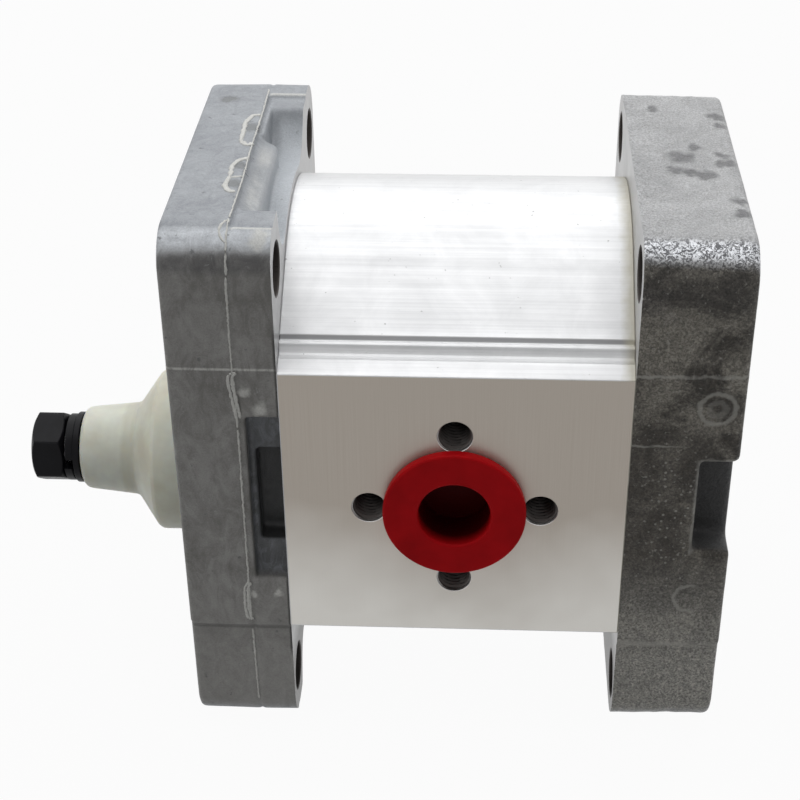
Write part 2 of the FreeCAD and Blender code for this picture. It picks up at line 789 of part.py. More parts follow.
def seal_piece(label, inner, outer, start):
    """One strip of the pressure seal, a C round each gear axis."""
    body = new_body(label)
    sketch = new_sketch(body, "track", "YZ_Plane")
    draw_outline(sketch, ring_sector(inner, outer))
    pad(body, "upper_half", sketch, size("pressure_seal_depth"))
    lower = doc.addObject("Part::Mirroring", f"{label}_lower_half")
    lower.Source = body
    lower.Normal = FreeCAD.Vector(0, 0, 1)
    whole = doc.addObject("Part::MultiFuse", f"{label}_pair")
    whole.Shapes = [body, lower]
    body.Label = f"{label}_upper"
    whole.Label = label
    bind(whole, "Placement.Base.x", start)
    doc.recompute()
    return whole


def body_seal(label, start):
    body = new_body(label)
    sketch = new_sketch(body, "outline", "YZ_Plane")
    draw_outline(sketch, racetrack(BODY_SEAL_RADIUS))
    draw_outline(sketch, racetrack(BODY_SEAL_RADIUS + size("body_seal_width")))
    pad(body, "strip", sketch, size("body_seal_depth"))
    bind(body, "Placement.Base.x", start)
    return body


def bush(label, height, start):
    length = BLOCK_LENGTH - size("bush_setback")
    return ring(label, length, BUSH_BORE_RADIUS, BUSH_OUTER_RADIUS, height, start)


def tooth_flank(side, middle):
    """Points of one involute flank, from the root circle to the tip."""
    module = size("gear_module").value
    teeth = size("gear_teeth").value
    pitch = module * teeth / 2
    pressure = math.radians(size("pressure_angle").value)
    base = pitch * math.cos(pressure)
    half = (math.pi * module / 2 - size("tooth_thinning").value) / (2 * pitch)
    start = max(base, pitch - module * size("tooth_dedendum").value)
    points = []
    for step in range(FLANK_STEPS + 1):
        radius = start + (TIP_RADIUS.value - start) * step / FLANK_STEPS
        local = math.acos(min(base / radius, 1))
        turn = half + math.tan(pressure) - pressure - math.tan(local) + local
        angle = middle + side * turn
        points.append(FreeCAD.Vector(0, radius * math.cos(angle), radius * math.sin(angle)))
    return points


def polar(radius, angle):
    return FreeCAD.Vector(0, radius * math.cos(angle), radius * math.sin(angle))


def smooth_curve(points):
    curve = Part.BSplineCurve()
    curve.interpolate(points)
    return curve.toShape()


def gear_blank(first_tooth):
    """The toothed part of a gear shaft, with one tooth centred on first_tooth."""
    teeth = int(size("gear_teeth").value)
    root_radius = AXIS_HEIGHT.value - size("gear_module").value * size("tooth_dedendum").value
    pitch_angle = 2 * math.pi / teeth
    edges = []
    for number in range(teeth):
        middle = first_tooth + number * pitch_angle
        rising = tooth_flank(-1, middle)
        falling = list(reversed(tooth_flank(1, middle)))
        root_angle = math.atan2(falling[-1].z, falling[-1].y)
        half_tooth = math.remainder(root_angle - middle, 2 * math.pi)
        tooth_start = polar(root_radius, middle - half_tooth)
        tooth_end = polar(root_radius, middle + half_tooth)
        space_middle = polar(root_radius, middle + pitch_angle / 2)
        next_start = polar(root_radius, middle + pitch_angle - half_tooth)
        edges += [
            Part.LineSegment(tooth_start, rising[0]).toShape(),
            smooth_curve(rising),
            Part.Arc(rising[-1], polar(TIP_RADIUS.value, middle), falling[0]).toShape(),
            smooth_curve(falling),
            Part.LineSegment(falling[-1], tooth_end).toShape(),
            Part.Arc(tooth_end, space_middle, next_start).toShape(),
        ]
    face = Part.Face(Part.Wire(edges))
    return face.extrude(FreeCAD.Vector(size("gear_width").value - 2 * size("side_clearance").value, 0, 0))


def lathe(corners):
    """A solid turned round the X axis from (along, radius) corners in plain numbers."""
    points = [FreeCAD.Vector(along, 0, radius) for along, radius in corners]
    face = Part.Face(Part.makePolygon(points + points[:1]))
    return face.revolve(FreeCAD.Vector(0, 0, 0), FreeCAD.Vector(1, 0, 0), 360)


def gear_shaft(label, corners, first_tooth, height, cutter=None):
    """A shaft forged in one with its gear."""
    blank = gear_blank(first_tooth)
    blank.translate(FreeCAD.Vector(GEAR_START.value + size("side_clearance").value, 0, 0))
    shape = lathe(corners).fuse(blank).removeSplitter()
    if cutter:
        shape = shape.cut(cutter)
    feature = doc.addObject("Part::Feature", label)
    feature.Shape = shape
    feature.Placement = FreeCAD.Placement(FreeCAD.Vector(0, 0, height.value), FreeCAD.Rotation())
    feature.Label = label
    return feature


def taper_radius(along):
    """Radius of the 1 in taper_ratio shaft taper at a place along X."""
    big_end = taper_end()
    shrink = (big_end - along) / size("taper_ratio").value / 2
    return taper_root() - shrink


def taper_end():
    return NUT_START.value + size("thread_length").value + size("taper_length").value


def taper_root():
    return JOURNAL_RADIUS.value - size("edge_break").value


def key_middle():
    return taper_end() - size("key_diameter").value / 2 - 2 * size("edge_break").value


def key_top():
    return taper_radius(key_middle()) + size("key_proud").value


def key_disc(thickness):
    """The half-moon key: a disc across the shaft, cut flat at its top."""
    radius = size("key_diameter").value / 2
    bottom = key_top() - size("key_height").value
    disc = Part.makeCylinder(
        radius, thickness, FreeCAD.Vector(key_middle(), -thickness / 2, bottom + radius),
        FreeCAD.Vector(0, 1, 0))
    keep = Part.makeBox(
        2 * radius, thickness, size("key_height").value,
        FreeCAD.Vector(key_middle() - radius, -thickness / 2, bottom))
    return disc.common(keep)


def drive_gear_shaft():
    end_gap = size("shaft_end_gap").value
    small = size("edge_break").value
    journal = JOURNAL_RADIUS.value
    thread = THREAD_RADIUS.value
    thread_end = NUT_START.value + size("thread_length").value
    far = BODY_END.value - end_gap
    corners = (
        (NUT_START.value, 0), (NUT_START.value, thread - small), (NUT_START.value + small, thread),
        (thread_end, thread), (thread_end, taper_radius(thread_end)),
        (taper_end(), taper_root()), (taper_end() + small, journal),
        (far - small, journal), (far, journal - small), (far, 0))
    key_seat = key_disc(size("key_width").value)
    return gear_shaft("drive_gear_shaft", corners, math.pi / 2, -AXIS_HEIGHT, key_seat)


def driven_gear_shaft():
    end_gap = size("shaft_end_gap").value
    small = size("edge_break").value
    journal = JOURNAL_RADIUS.value
    near = BODY_START.value + end_gap
    far = BODY_END.value - end_gap
    corners = (
        (near, 0), (near, journal - small), (near + small, journal),
        (far - small, journal), (far, journal - small), (far, 0))
    space_down = -math.pi / 2 + math.pi / size("gear_teeth").value
    return gear_shaft("driven_gear_shaft", corners, space_down, AXIS_HEIGHT)


def woodruff_key():
    feature = doc.addObject("Part::Feature", "woodruff_key")
    feature.Shape = key_disc(size("key_width").value)
    feature.Placement = FreeCAD.Placement(FreeCAD.Vector(0, 0, -AXIS_HEIGHT.value), FreeCAD.Rotation())
    feature.Label = "woodruff_key"
    return feature


def shaft_nut():
    """A hexagon nut with both ends chamfered, tightened with one corner up to the front."""
    body = new_body("shaft_nut")
    body.Placement = FreeCAD.Placement(
        FreeCAD.Vector(), FreeCAD.Rotation(FreeCAD.Vector(1, 0, 0), size("nut_turn").value))
    half_flats = size("nut_flats") / 2
    corner = size("nut_flats") / math.sqrt(3)
    sketch = new_sketch(body, "hexagon", "YZ_Plane")
    draw_outline(sketch, polygon(
        (-corner, 0), (-corner / 2, -half_flats), (corner / 2, -half_flats),
        (corner, 0), (corner / 2, half_flats), (-corner / 2, half_flats)))
    pad(body, "blank", sketch, size("nut_thickness"))
    sketch = new_sketch(body, "bore_outline", "YZ_Plane", size("nut_thickness"))
    draw_circle(sketch, 0, 0, THREAD_RADIUS + size("nut_clearance"))
    pocket(body, "bore", sketch, size("nut_thickness"))
    rise = corner - half_flats
    for name, face, away in (("outer_chamfer", as_size(0), 1), ("inner_chamfer", size("nut_thickness"), -1)):
        sketch = new_sketch(body, f"{name}_section", "XZ_Plane")
        draw_outline(sketch, polygon(
            (face - away * rise, half_flats - rise), (face + 2 * away * rise, corner + rise),
            (face - away * rise, corner + rise)))
        groove(body, name, sketch)
    bind(body, "Placement.Base.x", NUT_START)
    bind(body, "Placement.Base.z", -AXIS_HEIGHT)
    return body


def spring_washer():
    outer = size("spring_washer_outer") / 2
    inner = THREAD_RADIUS + size("nut_clearance")
    body = ring("spring_washer", size("spring_washer_thickness"), inner, outer, -AXIS_HEIGHT,
                SPRING_WASHER_START)
    half = size("spring_washer_slit") / 2
    sketch = new_sketch(body, "slit_outline", "YZ_Plane", size("spring_washer_thickness"))
    draw_outline(sketch, rectangle(-outer - size("overcut"), 0, -half, half))
    pocket(body, "slit", sketch, size("spring_washer_thickness"))
    return body


def flat_washer():
    return ring("flat_washer", size("flat_washer_thickness"), THREAD_RADIUS + size("nut_clearance"),
                size("flat_washer_outer") / 2, -AXIS_HEIGHT, FLAT_WASHER_START)


def shaft_protector():
    """A thin moulded cap: skirt over the pilot, cone, and a tapered nose round the shaft end."""
    wall = size("protector_wall")
    gap = size("protector_gap")
    pilot = size("pilot_diameter") / 2 + gap
    skirt = pilot + size("protector_skirt_wall")
    skirt_end = -size("protector_skirt_length")
    cone_end = -size("protector_cone_end")
    nose, tip, tip_round = size("protector_nose_root"), size("protector_nose_tip"), size("protector_round")
    hole = THREAD_RADIUS + gap
    corners = (
        (-gap, skirt), (skirt_end + tip_round, skirt), (skirt_end, skirt - tip_round),
        (cone_end, nose), (PROTECTOR_TIP + tip_round, tip), (PROTECTOR_TIP, tip - tip_round),
        (PROTECTOR_TIP, hole), (PROTECTOR_TIP + wall, hole), (PROTECTOR_TIP + wall, tip - wall),
        (cone_end + wall / 2, nose - wall), (-size("pilot_height") - gap, pilot), (-gap, pilot))
    return turned("shaft_protector", corners, -AXIS_HEIGHT)


def seal_pieces():
    """Shaft seal: steel case, rubber lip, garter spring and the ring that holds them in."""
    shell = size("seal_shell")
    width = size("seal_width")
    lip = JOURNAL_RADIUS + size("lip_clearance")
    ledge = lip + 2 * shell
    turned("shaft_seal_case", (
        (0, ledge), (shell, ledge), (shell, SEAL_RADIUS - shell), (width, SEAL_RADIUS - shell),
        (width, SEAL_RADIUS), (0, SEAL_RADIUS)), -AXIS_HEIGHT)
    wire = size("spring_wire")
    turned("shaft_seal_lip", (
        (shell, ledge + shell), (shell, lip + shell), (width / 2, lip), (width - shell, lip + shell),
        (width - shell, lip + 2 * shell), (2 * shell, lip + 2 * shell),
        (2 * shell, SEAL_RADIUS - shell), (shell, SEAL_RADIUS - shell)), -AXIS_HEIGHT)
    spring = doc.addObject("Part::Torus", "seal_garter_spring")
    spring.Label = "seal_garter_spring"
    bind(spring, "Radius1", lip + 2 * shell + wire / 2)
    bind(spring, "Radius2", wire / 2)
    spring.Placement = FreeCAD.Placement(
        FreeCAD.Vector(0, 0, 0), FreeCAD.Rotation(FreeCAD.Vector(0, 1, 0), 90))
    bind(spring, "Placement.Base.x", width / 2 + wire)
    bind(spring, "Placement.Base.z", -AXIS_HEIGHT)

    body = ring("seal_retaining_ring", size("ring_thickness"), RING_RADIUS - size("ring_width"),
                RING_RADIUS, -AXIS_HEIGHT, RING_START)
    half = size("ring_gap") / 2
    sketch = new_sketch(body, "gap_outline", "YZ_Plane", size("ring_thickness"))
    draw_outline(sketch, rectangle(-half, half, 0, 2 * RING_RADIUS))
    pocket(body, "gap", sketch, size("ring_thickness"))


def port_plug(label, bore, outer, facing):
    """A moulded transport plug: flange on the port face and a hollow stem in the bore."""
    stem = bore / 2 - size("plug_clearance")
    hollow = stem - size("plug_wall")
    flange = outer / 2
    soft = size("plug_round")
    front = -size("plug_flange")
    body = new_body(label)
    sketch = new_sketch(body, "section", "XZ_Plane")
    draw_outline(sketch, polygon(
        (front, hollow + soft), (front + soft, hollow),
        (size("plug_stem") - size("plug_floor"), hollow), (size("plug_stem") - size("plug_floor"), 0),
        (size("plug_stem"), 0), (size("plug_stem"), stem - soft), (size("plug_stem") - soft, stem),
        (0, stem), (0, flange), (front + soft, flange), (front, flange - soft)))
    revolve(body, "turning", sketch)
    body.Placement = FreeCAD.Placement(
        FreeCAD.Vector(0, 0, 0), FreeCAD.Rotation(FreeCAD.Vector(0, 0, 1), 90 * -facing))
    bind(body, "Placement.Base.x", BODY_MIDDLE)
    bind(body, "Placement.Base.y", facing * (PORT_REACH + size("plug_seat_gap")))
    return body


def tie_bolt(label, across, up):
    """A socket-head screw from the rear cover through the body into the front cover."""
    body = new_body(label)
    shank = size("bolt_diameter") / 2
    head = size("bolt_head") / 2
    small = size("edge_break")
    under = BOLT_SEAT + size("bolt_washer_thickness")
    end = under + size("bolt_head_height")
    sketch = new_sketch(body, "section", "XZ_Plane")
    draw_outline(sketch, polygon(
        (BOLT_END, 0), (BOLT_END, shank - small), (BOLT_END + small, shank), (under, shank),
        (under, head), (end - small, head), (end, head - small), (end, 0)))
    revolve(body, "turning", sketch)
    sketch = new_sketch(body, "socket_outline", "YZ_Plane", end)
    half = size("bolt_socket") / 2
    corner = size("bolt_socket") / math.sqrt(3)
    draw_outline(sketch, polygon(
        (-corner, 0), (-corner / 2, -half), (corner / 2, -half),
        (corner, 0), (corner / 2, half), (-corner / 2, half)))
    pocket(body, "socket", sketch, size("bolt_socket_depth"))
    bind(body, "Placement.Base.y", across)
    bind(body, "Placement.Base.z", up)
    return body


def gather(label, members):
    """Puts like pieces into one group of separate solids."""
    for number, member in enumerate(members, start=1):
        member.Label = f"{label}_{number}"
    group = doc.addObject("Part::Compound", label)
    group.Links = members
    group.Label = label
    doc.recompute()
    return group


def tie_bolts():
    places = four_places(size("bolt_spacing_side"), size("bolt_spacing_up"))
    gather("tie_bolts", [tie_bolt(f"tie_bolt_{n}", *place) for n, place in enumerate(places)])
    washers = []
    for number, (across, up) in enumerate(places):
        washer = ring(f"tie_bolt_washer_{number}", size("bolt_washer_thickness"),
                      size("bolt_hole") / 2, size("bolt_washer") / 2, up, BOLT_SEAT)
        bind(washer, "Placement.Base.y", across)
        washers.append(washer)
    gather("tie_bolt_washers", washers)


def dowels(label, face):
    """Two pins that line a cover up with the body."""
    pins = []
    for side in (-1, 1):
        pin = doc.addObject("Part::Cylinder", f"{label}_pin")
        bind(pin, "Radius", size("dowel_diameter") / 2)
        bind(pin, "Height", size("dowel_length"))
        pin.Placement = FreeCAD.Placement(
            FreeCAD.Vector(0, 0, 0), FreeCAD.Rotation(FreeCAD.Vector(0, 1, 0), 90))
        bind(pin, "Placement.Base.x", face - size("dowel_length") / 2)
        bind(pin, "Placement.Base.z", side * DOWEL_HEIGHT)
        pins.append(pin)
    gather(label, pins)


front_cover()
pump_body()
rear_cover()
drive_gear_shaft()
driven_gear_shaft()
woodruff_key()
bearing_block("front_bearing_block", BODY_START, 0, True)
bearing_block("rear_bearing_block", BODY_END - BLOCK_LENGTH, BLOCK_LENGTH, False)
for end_name, block_start in (("front", BODY_START), ("rear", BODY_END - BLOCK_LENGTH)):
    bush(f"drive_bush_{end_name}", -AXIS_HEIGHT, block_start + size("bush_setback") / 2)
    bush(f"driven_bush_{end_name}", AXIS_HEIGHT, block_start + size("bush_setback") / 2)
for end_name, seal_start in (("front", BODY_START), ("rear", BODY_END - size("pressure_seal_depth"))):
    middle_radius = size("pressure_seal_inner")
    seal_piece(f"{end_name}_pressure_seal", middle_radius, size("pressure_seal_outer"), seal_start)
    seal_piece(f"{end_name}_backup_ring", middle_radius - size("backup_width"), middle_radius, seal_start)
body_seal("front_body_seal", BODY_START - size("body_seal_depth"))
body_seal("rear_body_seal", BODY_END)
seal_pieces()
shaft_nut()
spring_washer()
flat_washer()
shaft_protector()
port_plug("inlet_port_plug", size("inlet_bore"), size("inlet_plug_outer"), -1)
port_plug("outlet_port_plug", size("outlet_bore"), size("outlet_plug_outer"), 1)
tie_bolts()
dowels("front_dowels", BODY_START)
dowels("rear_dowels", BODY_END)
doc.recompute()

NODES = (
    "front_cover", "pump_body", "rear_cover", "drive_gear_shaft", "driven_gear_shaft", "woodruff_key",
    "front_bearing_block", "rear_bearing_block", "drive_bush_front", "drive_bush_rear",
    "driven_bush_front", "driven_bush_rear", "front_pressure_seal", "rear_pressure_seal",
    "front_backup_ring", "rear_backup_ring", "front_body_seal", "rear_body_seal",
    "shaft_seal_case", "shaft_seal_lip", "seal_garter_spring", "seal_retaining_ring",
    "shaft_nut", "spring_washer", "flat_washer", "shaft_protector",
    "inlet_port_plug", "outlet_port_plug", "tie_bolts", "tie_bolt_washers",
    "front_dowels", "rear_dowels",
)

for item in doc.Objects:
    if "Invalid" in item.State or "Error" in item.State:
        raise RuntimeError(f"{item.Name} failed: {item.State}")

pieces = [doc.getObjectsByLabel(node)[0] for node in NODES]
for piece in pieces:
    if piece.Shape.isNull() or not piece.Shape.isValid():
        raise RuntimeError(f"{piece.Label} has no valid shape")

os.makedirs("parts", exist_ok=True)
for piece in pieces:
    piece.Shape.exportStep(f"parts/{piece.Label}.step")
    print(piece.Label, len(piece.Shape.Solids), round(piece.Shape.Volume, 1))
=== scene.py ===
"""Visual model of a gear pump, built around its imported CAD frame."""

import json
import math

import bmesh
import bpy
import numpy as np
import openvdb
from mathutils import Matrix, Vector


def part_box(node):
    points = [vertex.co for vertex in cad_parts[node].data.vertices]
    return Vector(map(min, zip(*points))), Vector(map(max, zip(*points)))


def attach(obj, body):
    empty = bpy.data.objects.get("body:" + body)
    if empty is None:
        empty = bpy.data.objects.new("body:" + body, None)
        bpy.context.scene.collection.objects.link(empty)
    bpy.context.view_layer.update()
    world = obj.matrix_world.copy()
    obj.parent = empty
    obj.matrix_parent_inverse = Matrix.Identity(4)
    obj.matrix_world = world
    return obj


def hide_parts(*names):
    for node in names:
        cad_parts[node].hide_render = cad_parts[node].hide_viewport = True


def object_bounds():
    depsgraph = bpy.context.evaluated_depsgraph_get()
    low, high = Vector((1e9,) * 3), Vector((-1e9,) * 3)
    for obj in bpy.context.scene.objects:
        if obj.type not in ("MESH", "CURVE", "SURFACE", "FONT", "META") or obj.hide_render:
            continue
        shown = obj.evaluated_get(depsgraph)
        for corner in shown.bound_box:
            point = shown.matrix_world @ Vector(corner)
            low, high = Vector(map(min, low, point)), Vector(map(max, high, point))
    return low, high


bl_info = {
    "name": "Gear pump",
    "version": (1, 0, 0),
    "blender": (4, 5, 0),
    "location": "View3D > Sidebar > Gear pump",
    "description": "Builds the castings, body, plugs and shaft end of an external gear pump",
    "category": "Object",
}

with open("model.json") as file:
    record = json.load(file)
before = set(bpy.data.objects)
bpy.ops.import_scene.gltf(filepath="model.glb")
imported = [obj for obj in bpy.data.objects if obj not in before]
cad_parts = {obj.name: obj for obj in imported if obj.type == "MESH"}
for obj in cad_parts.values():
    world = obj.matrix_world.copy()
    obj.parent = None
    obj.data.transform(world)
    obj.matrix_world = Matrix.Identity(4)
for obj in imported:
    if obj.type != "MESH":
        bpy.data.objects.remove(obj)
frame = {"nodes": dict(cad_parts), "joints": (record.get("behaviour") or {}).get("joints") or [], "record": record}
CAD_BOX = [list(corner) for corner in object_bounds()]

# Geometry below is worked out in millimetres and scaled when a mesh is made.
MM = 0.001


def node_box(node):
    """Lowest and highest corner of a CAD node, in millimetres."""
    return [np.array(corner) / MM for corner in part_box(node)]


FRONT_LOW, FRONT_HIGH = node_box("front_cover")
REAR_LOW, REAR_HIGH = node_box("rear_cover")
BODY_LOW, BODY_HIGH = node_box("pump_body")
NUT_LOW, NUT_HIGH = node_box("shaft_nut")
SPRING_LOW, SPRING_HIGH = node_box("spring_washer")
WASHER_LOW, WASHER_HIGH = node_box("flat_washer")
CAP_LOW, CAP_HIGH = node_box("shaft_protector")
AXIS_HEIGHT = -frame["joints"][0]["pos_m"][2] / MM
COVER_HALF_WIDTH = FRONT_HIGH[1]
FRONT_TOP, REAR_TOP = FRONT_HIGH[2], REAR_HIGH[2]
BODY_START, BODY_END = BODY_LOW[0], BODY_HIGH[0]
BODY_MIDDLE = (BODY_START + BODY_END) / 2
PUMP_END = REAR_HIGH[0]
PORT_REACH = BODY_HIGH[1]
CROWN_RADIUS = BODY_HIGH[2] - AXIS_HEIGHT

# Seeds for the unevenness of each casting and of the flash
FRONT_SEED, REAR_SEED, FLASH_SEED = 11, 12, 21

# Covers: corners, ears, parting line, steps in the outline and the recesses' floors
COVER_CORNER = 9.5
EAR_PLACES = [(across * 38.0, up * 57.0) for across in (-1, 1) for up in (-1, 1)]
EAR_HOLE = 6.25
PARTING_LINE = 15.4
STEP_DEPTH = 1.0
STEP_SLOPE = 1.8
SKIN_INSET = 0.2
OVERRUN = 1.0
FRONT_STEP = 35.6
REAR_STEP = 38.8
WITNESS_HEIGHT = 36.4
PLATE = 17.4
POCKET_FLOOR = CROWN_RADIUS + 2
SIDE_SHELF, SIDE_RECESS = 4.5, 10.0
REAR_RECESS, REAR_RECESS_HEIGHT = 9.0, 1.3
PILOT_RADIUS = 18.25

# Holes on the axes of the shaft, the tie bolts and the dowels
SHAFT_PASSAGE, SEAL_SEAT, RING_GROOVE = 10.0, 15.0, 15.8
BOLT_PLACES = [(across * 32.0, up * 32.0) for across in (-1, 1) for up in (-1, 1)]
BOLT_THREAD, BOLT_PASSAGE, BOLT_SINK, SINK_DEPTH = 4.0, 4.3, 7.2, 10.0
DOWEL_RADIUS, DOWEL_DEPTH = 3.0, 7.0
DOWEL_PLACES = [(0, up * (AXIS_HEIGHT + CROWN_RADIUS - 9)) for up in (-1, 1)]
SEAL_GROOVE_DEPTH, SEAL_GROOVE_HALF = 1.9, 1.3

# Extrusion: angle where the crown meets the flank, and the groove's place in from the port face
FLANK_ANGLE = math.radians(33.5)
CROWN_STEP = math.radians(2.5)
GROOVE_PLACE = 8.6
RIDGE_DROP, PORT_TOP_DROP, COVE_DEPTH = 0.75, 5.6, 1.05

# Gears
TEETH = 12
GEAR_WIDTH, GEAR_EDGE = 31.9, 0.3
PRESSURE_ANGLE = math.radians(25)
TOOTH_PLAY = 0.2
MODULE = 2 * AXIS_HEIGHT / TEETH
TIP_RADIUS = AXIS_HEIGHT + 0.95 * MODULE
ROOT_RADIUS = AXIS_HEIGHT - 1.2 * MODULE
CHAMBER_RADIUS = TIP_RADIUS + 0.1
SEAL_TRACK = CHAMBER_RADIUS + 4.7
JOURNAL_RADIUS = 9.5
GEAR_START, GEAR_END = BODY_MIDDLE - GEAR_WIDTH / 2, BODY_MIDDLE + GEAR_WIDTH / 2

# Shaft end; the taper is 1:8 across
THREAD_RADIUS, THREAD_PITCH = 6.0, 1.5
THREAD_END, TAPER_START = NUT_LOW[0] + 14, NUT_LOW[0] + 15
NUT_TURN = math.radians(22)
NUT_HALF_FLATS, SPRING_OUTER, WASHER_OUTER = 8.5, 8.8, 9.3
TAPER_LENGTH, TAPER_RADIUS, TAPER_SLOPE = 25.0, 8.7, 1 / 16
CENTRE_RADIUS, CENTRE_DEPTH = 1.9, 2.4
CAP_SKIRT, CAP_BORE = 21.0, 18.55

# Inlet and outlet: radii of the bore, the plug's flange and the circle of tapped holes, then the holes'
# minor and major radius, pitch and depth
INLET = {"bore": 10.0, "flange": 16.7, "circle": 20.0, "minor": 3.4, "major": 4.0, "pitch": 1.25,
         "depth": 17.0, "facing": -1}
OUTLET = {"bore": 7.5, "flange": 12.2, "circle": 15.0, "minor": 2.5, "major": 3.0, "pitch": 1.0,
          "depth": 13.0, "facing": 1}
BORE_END = PORT_REACH - 4.5
PLUG_PLAY, PLUG_WALL, PLUG_DEPTH, PLUG_STANDS_OUT = 0.3, 1.3, 10.0, 0.3


class PumpSizes(bpy.types.PropertyGroup):
    """Sizes of the visual detail."""
    voxel: bpy.props.FloatProperty(
        name="Casting grid", description="Spacing of the grid that the castings are meshed from",
        default=0.0005, min=0.0003, unit="LENGTH", subtype="DISTANCE")
    cast_edge: bpy.props.FloatProperty(
        name="Cast edge", description="Rounding of the cast edges",
        default=0.0016, min=0.0004, unit="LENGTH", subtype="DISTANCE")
    machined_edge: bpy.props.FloatProperty(
        name="Machined edge", description="Edge break at the body's sawn ends",
        default=0.00025, min=0.0001, unit="LENGTH", subtype="DISTANCE")
    extruded_edge: bpy.props.FloatProperty(
        name="Extruded edge", description="Rounding of the body's long edges",
        default=0.00035, min=0.0001, unit="LENGTH", subtype="DISTANCE")
    roughness_depth: bpy.props.FloatProperty(
        name="Sand texture", description="Depth of the tumbled texture on the rear cover",
        default=0.00007, min=0.0, unit="LENGTH", subtype="DISTANCE")
    floor_size: bpy.props.FloatProperty(
        name="Floor", description="Side of the floor",
        default=6.0, min=1.0, unit="LENGTH", subtype="DISTANCE")


class PumpColours(bpy.types.PropertyGroup):
    """Colours of the main finishes."""
    plug: bpy.props.FloatVectorProperty(
        name="Transport plugs", description="Colour of the moulded plugs",
        default=(0.55, 0.006, 0.01), size=3, min=0, max=1, subtype="COLOR")
    protector: bpy.props.FloatVectorProperty(
        name="Shaft protector", description="Colour of the unpigmented cap",
        default=(0.96, 0.90, 0.73), size=3, min=0, max=1, subtype="COLOR")
    floor: bpy.props.FloatVectorProperty(
        name="Floor", description="Colour of the floor",
        default=(0.45, 0.45, 0.45), size=3, min=0, max=1, subtype="COLOR")


def sizes():
    return bpy.context.scene.pump_sizes


def colours():
    return bpy.context.scene.pump_colours


# Meshes


def mesh_from(name, points, faces):
    """A mesh in metres from points in millimetres."""
    mesh = bpy.data.meshes.new(name)
    mesh.from_pydata((np.asarray(points, float) * MM).tolist(), [], [list(face) for face in faces])
    mesh.validate()
    return mesh


def face_outwards(mesh):
    work = bmesh.new()
    work.from_mesh(mesh)
    bmesh.ops.recalc_face_normals(work, faces=work.faces)
    work.to_mesh(mesh)
    work.free()


def smooth_by_angle(piece, degrees=32):
    """Smooth shading that keeps creases, with large flat faces left flat."""
    piece.data.shade_smooth()
    piece.data.set_sharp_from_angle(angle=math.radians(degrees))
    modifier = piece.modifiers.new("weighted", "WEIGHTED_NORMAL")
    modifier.keep_sharp = True
    modifier.weight = 80


def add_piece(name, mesh, materials, body, replaces=()):
    for material in materials:
        mesh.materials.append(material)
    piece = bpy.data.objects.new(name, mesh)
    bpy.context.scene.collection.objects.link(piece)
    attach(piece, body)
    if replaces:
        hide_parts(*replaces)
    return piece


def join_parts(name, parts):
    """One mesh from several (points, faces) shells."""
    points, faces, offset = [], [], 0
    for part_points, part_faces in parts:
        points.extend(part_points)
        faces.extend([[index + offset for index in face] for face in part_faces])
        offset += len(part_points)
    return mesh_from(name, points, faces)


def grid_faces(rows, columns, closed=True):
    """Quads between rows of a tube or sheet; closed joins the last column to the first."""
    faces = []
    for row in range(rows - 1):
        for column in range(columns if closed else columns - 1):
            following = (column + 1) % columns
            faces.append((row * columns + column, row * columns + following,
                          (row + 1) * columns + following, (row + 1) * columns + column))
    return faces


def looped_faces(rows, columns):
    """Quads of a tube bent back on itself, so that its last row joins the first."""
    faces = grid_faces(rows, columns)
    last = (rows - 1) * columns
    for column in range(columns):
        following = (column + 1) % columns
        faces.append((last + column, last + following, following, column))
    return faces


def capped_faces(rows, columns):
    """Quads of a tube with both ends closed."""
    faces = grid_faces(rows, columns)
    faces.append(tuple(range(columns)))
    faces.append(tuple(range((rows - 1) * columns, rows * columns)))
    return faces


def soften(corners, radius, steps=5):
    """Rounds the corners of a closed outline of (a, b) points."""
    rounded = []
    count = len(corners)
    for index, corner in enumerate(corners):
        here = np.array(corner, float)
        before = np.array(corners[index - 1], float) - here
        after = np.array(corners[(index + 1) % count], float) - here
        into, out = np.linalg.norm(before), np.linalg.norm(after)
        turn = math.pi - math.acos(np.clip(before @ after / (into * out), -1, 1))
        if turn < math.radians(12):
            rounded.append(tuple(here))
            continue
        cut = min(radius * math.tan(turn / 2), 0.42 * into, 0.42 * out)
        first, last = here + before / into * cut, here + after / out * cut
        for step in range(steps + 1):
            share = step / steps
            point = (1 - share) ** 2 * first + 2 * share * (1 - share) * here + share ** 2 * last
            rounded.append(tuple(point))
    return rounded


def lathe(profile, segments=128):
    """A closed shell turned round the X axis from an (along, radius) outline; radius 0 closes it."""
    points, rows = [], []
    angles = np.linspace(0, 2 * math.pi, segments, endpoint=False)
    for along, radius in profile:
        if radius < 1e-6:
            rows.append([len(points)])
            points.append((along, 0.0, 0.0))
            continue
        rows.append(list(range(len(points), len(points) + segments)))
        points.extend((along, radius * math.cos(a), radius * math.sin(a)) for a in angles)
    faces = []
    for index, row in enumerate(rows):
        following = rows[(index + 1) % len(rows)]
        if len(row) == 1 and len(following) == 1:
            continue
        for column in range(segments):
            beyond = (column + 1) % segments
            if len(row) == 1:
                faces.append((row[0], following[beyond], following[column]))
            elif len(following) == 1:
                faces.append((row[column], row[beyond], following[0]))
            else:
                faces.append((row[column], row[beyond], following[beyond], following[column]))
    return points, faces


def thread_radius(turns, minor, major):
    """Radius of a rounded vee thread at a place given in turns."""
    phase = np.abs((turns % 1.0) * 2 - 1)
    share = np.clip(phase * 1.5 - 0.2, 0, 1)
    return minor + (major - minor) * share


def shifted(part, along=0.0, across=0.0, up=0.0):
    points, faces = part
    return [(x + along, y + across, z + up) for x, y, z in points], faces


def placed(part, matrix):
    """A (points, faces) shell moved by a 4x4 matrix in millimetres."""
    points, faces = part
    return [tuple(matrix @ Vector(point)) for point in points], faces


# Castings held as distance fields


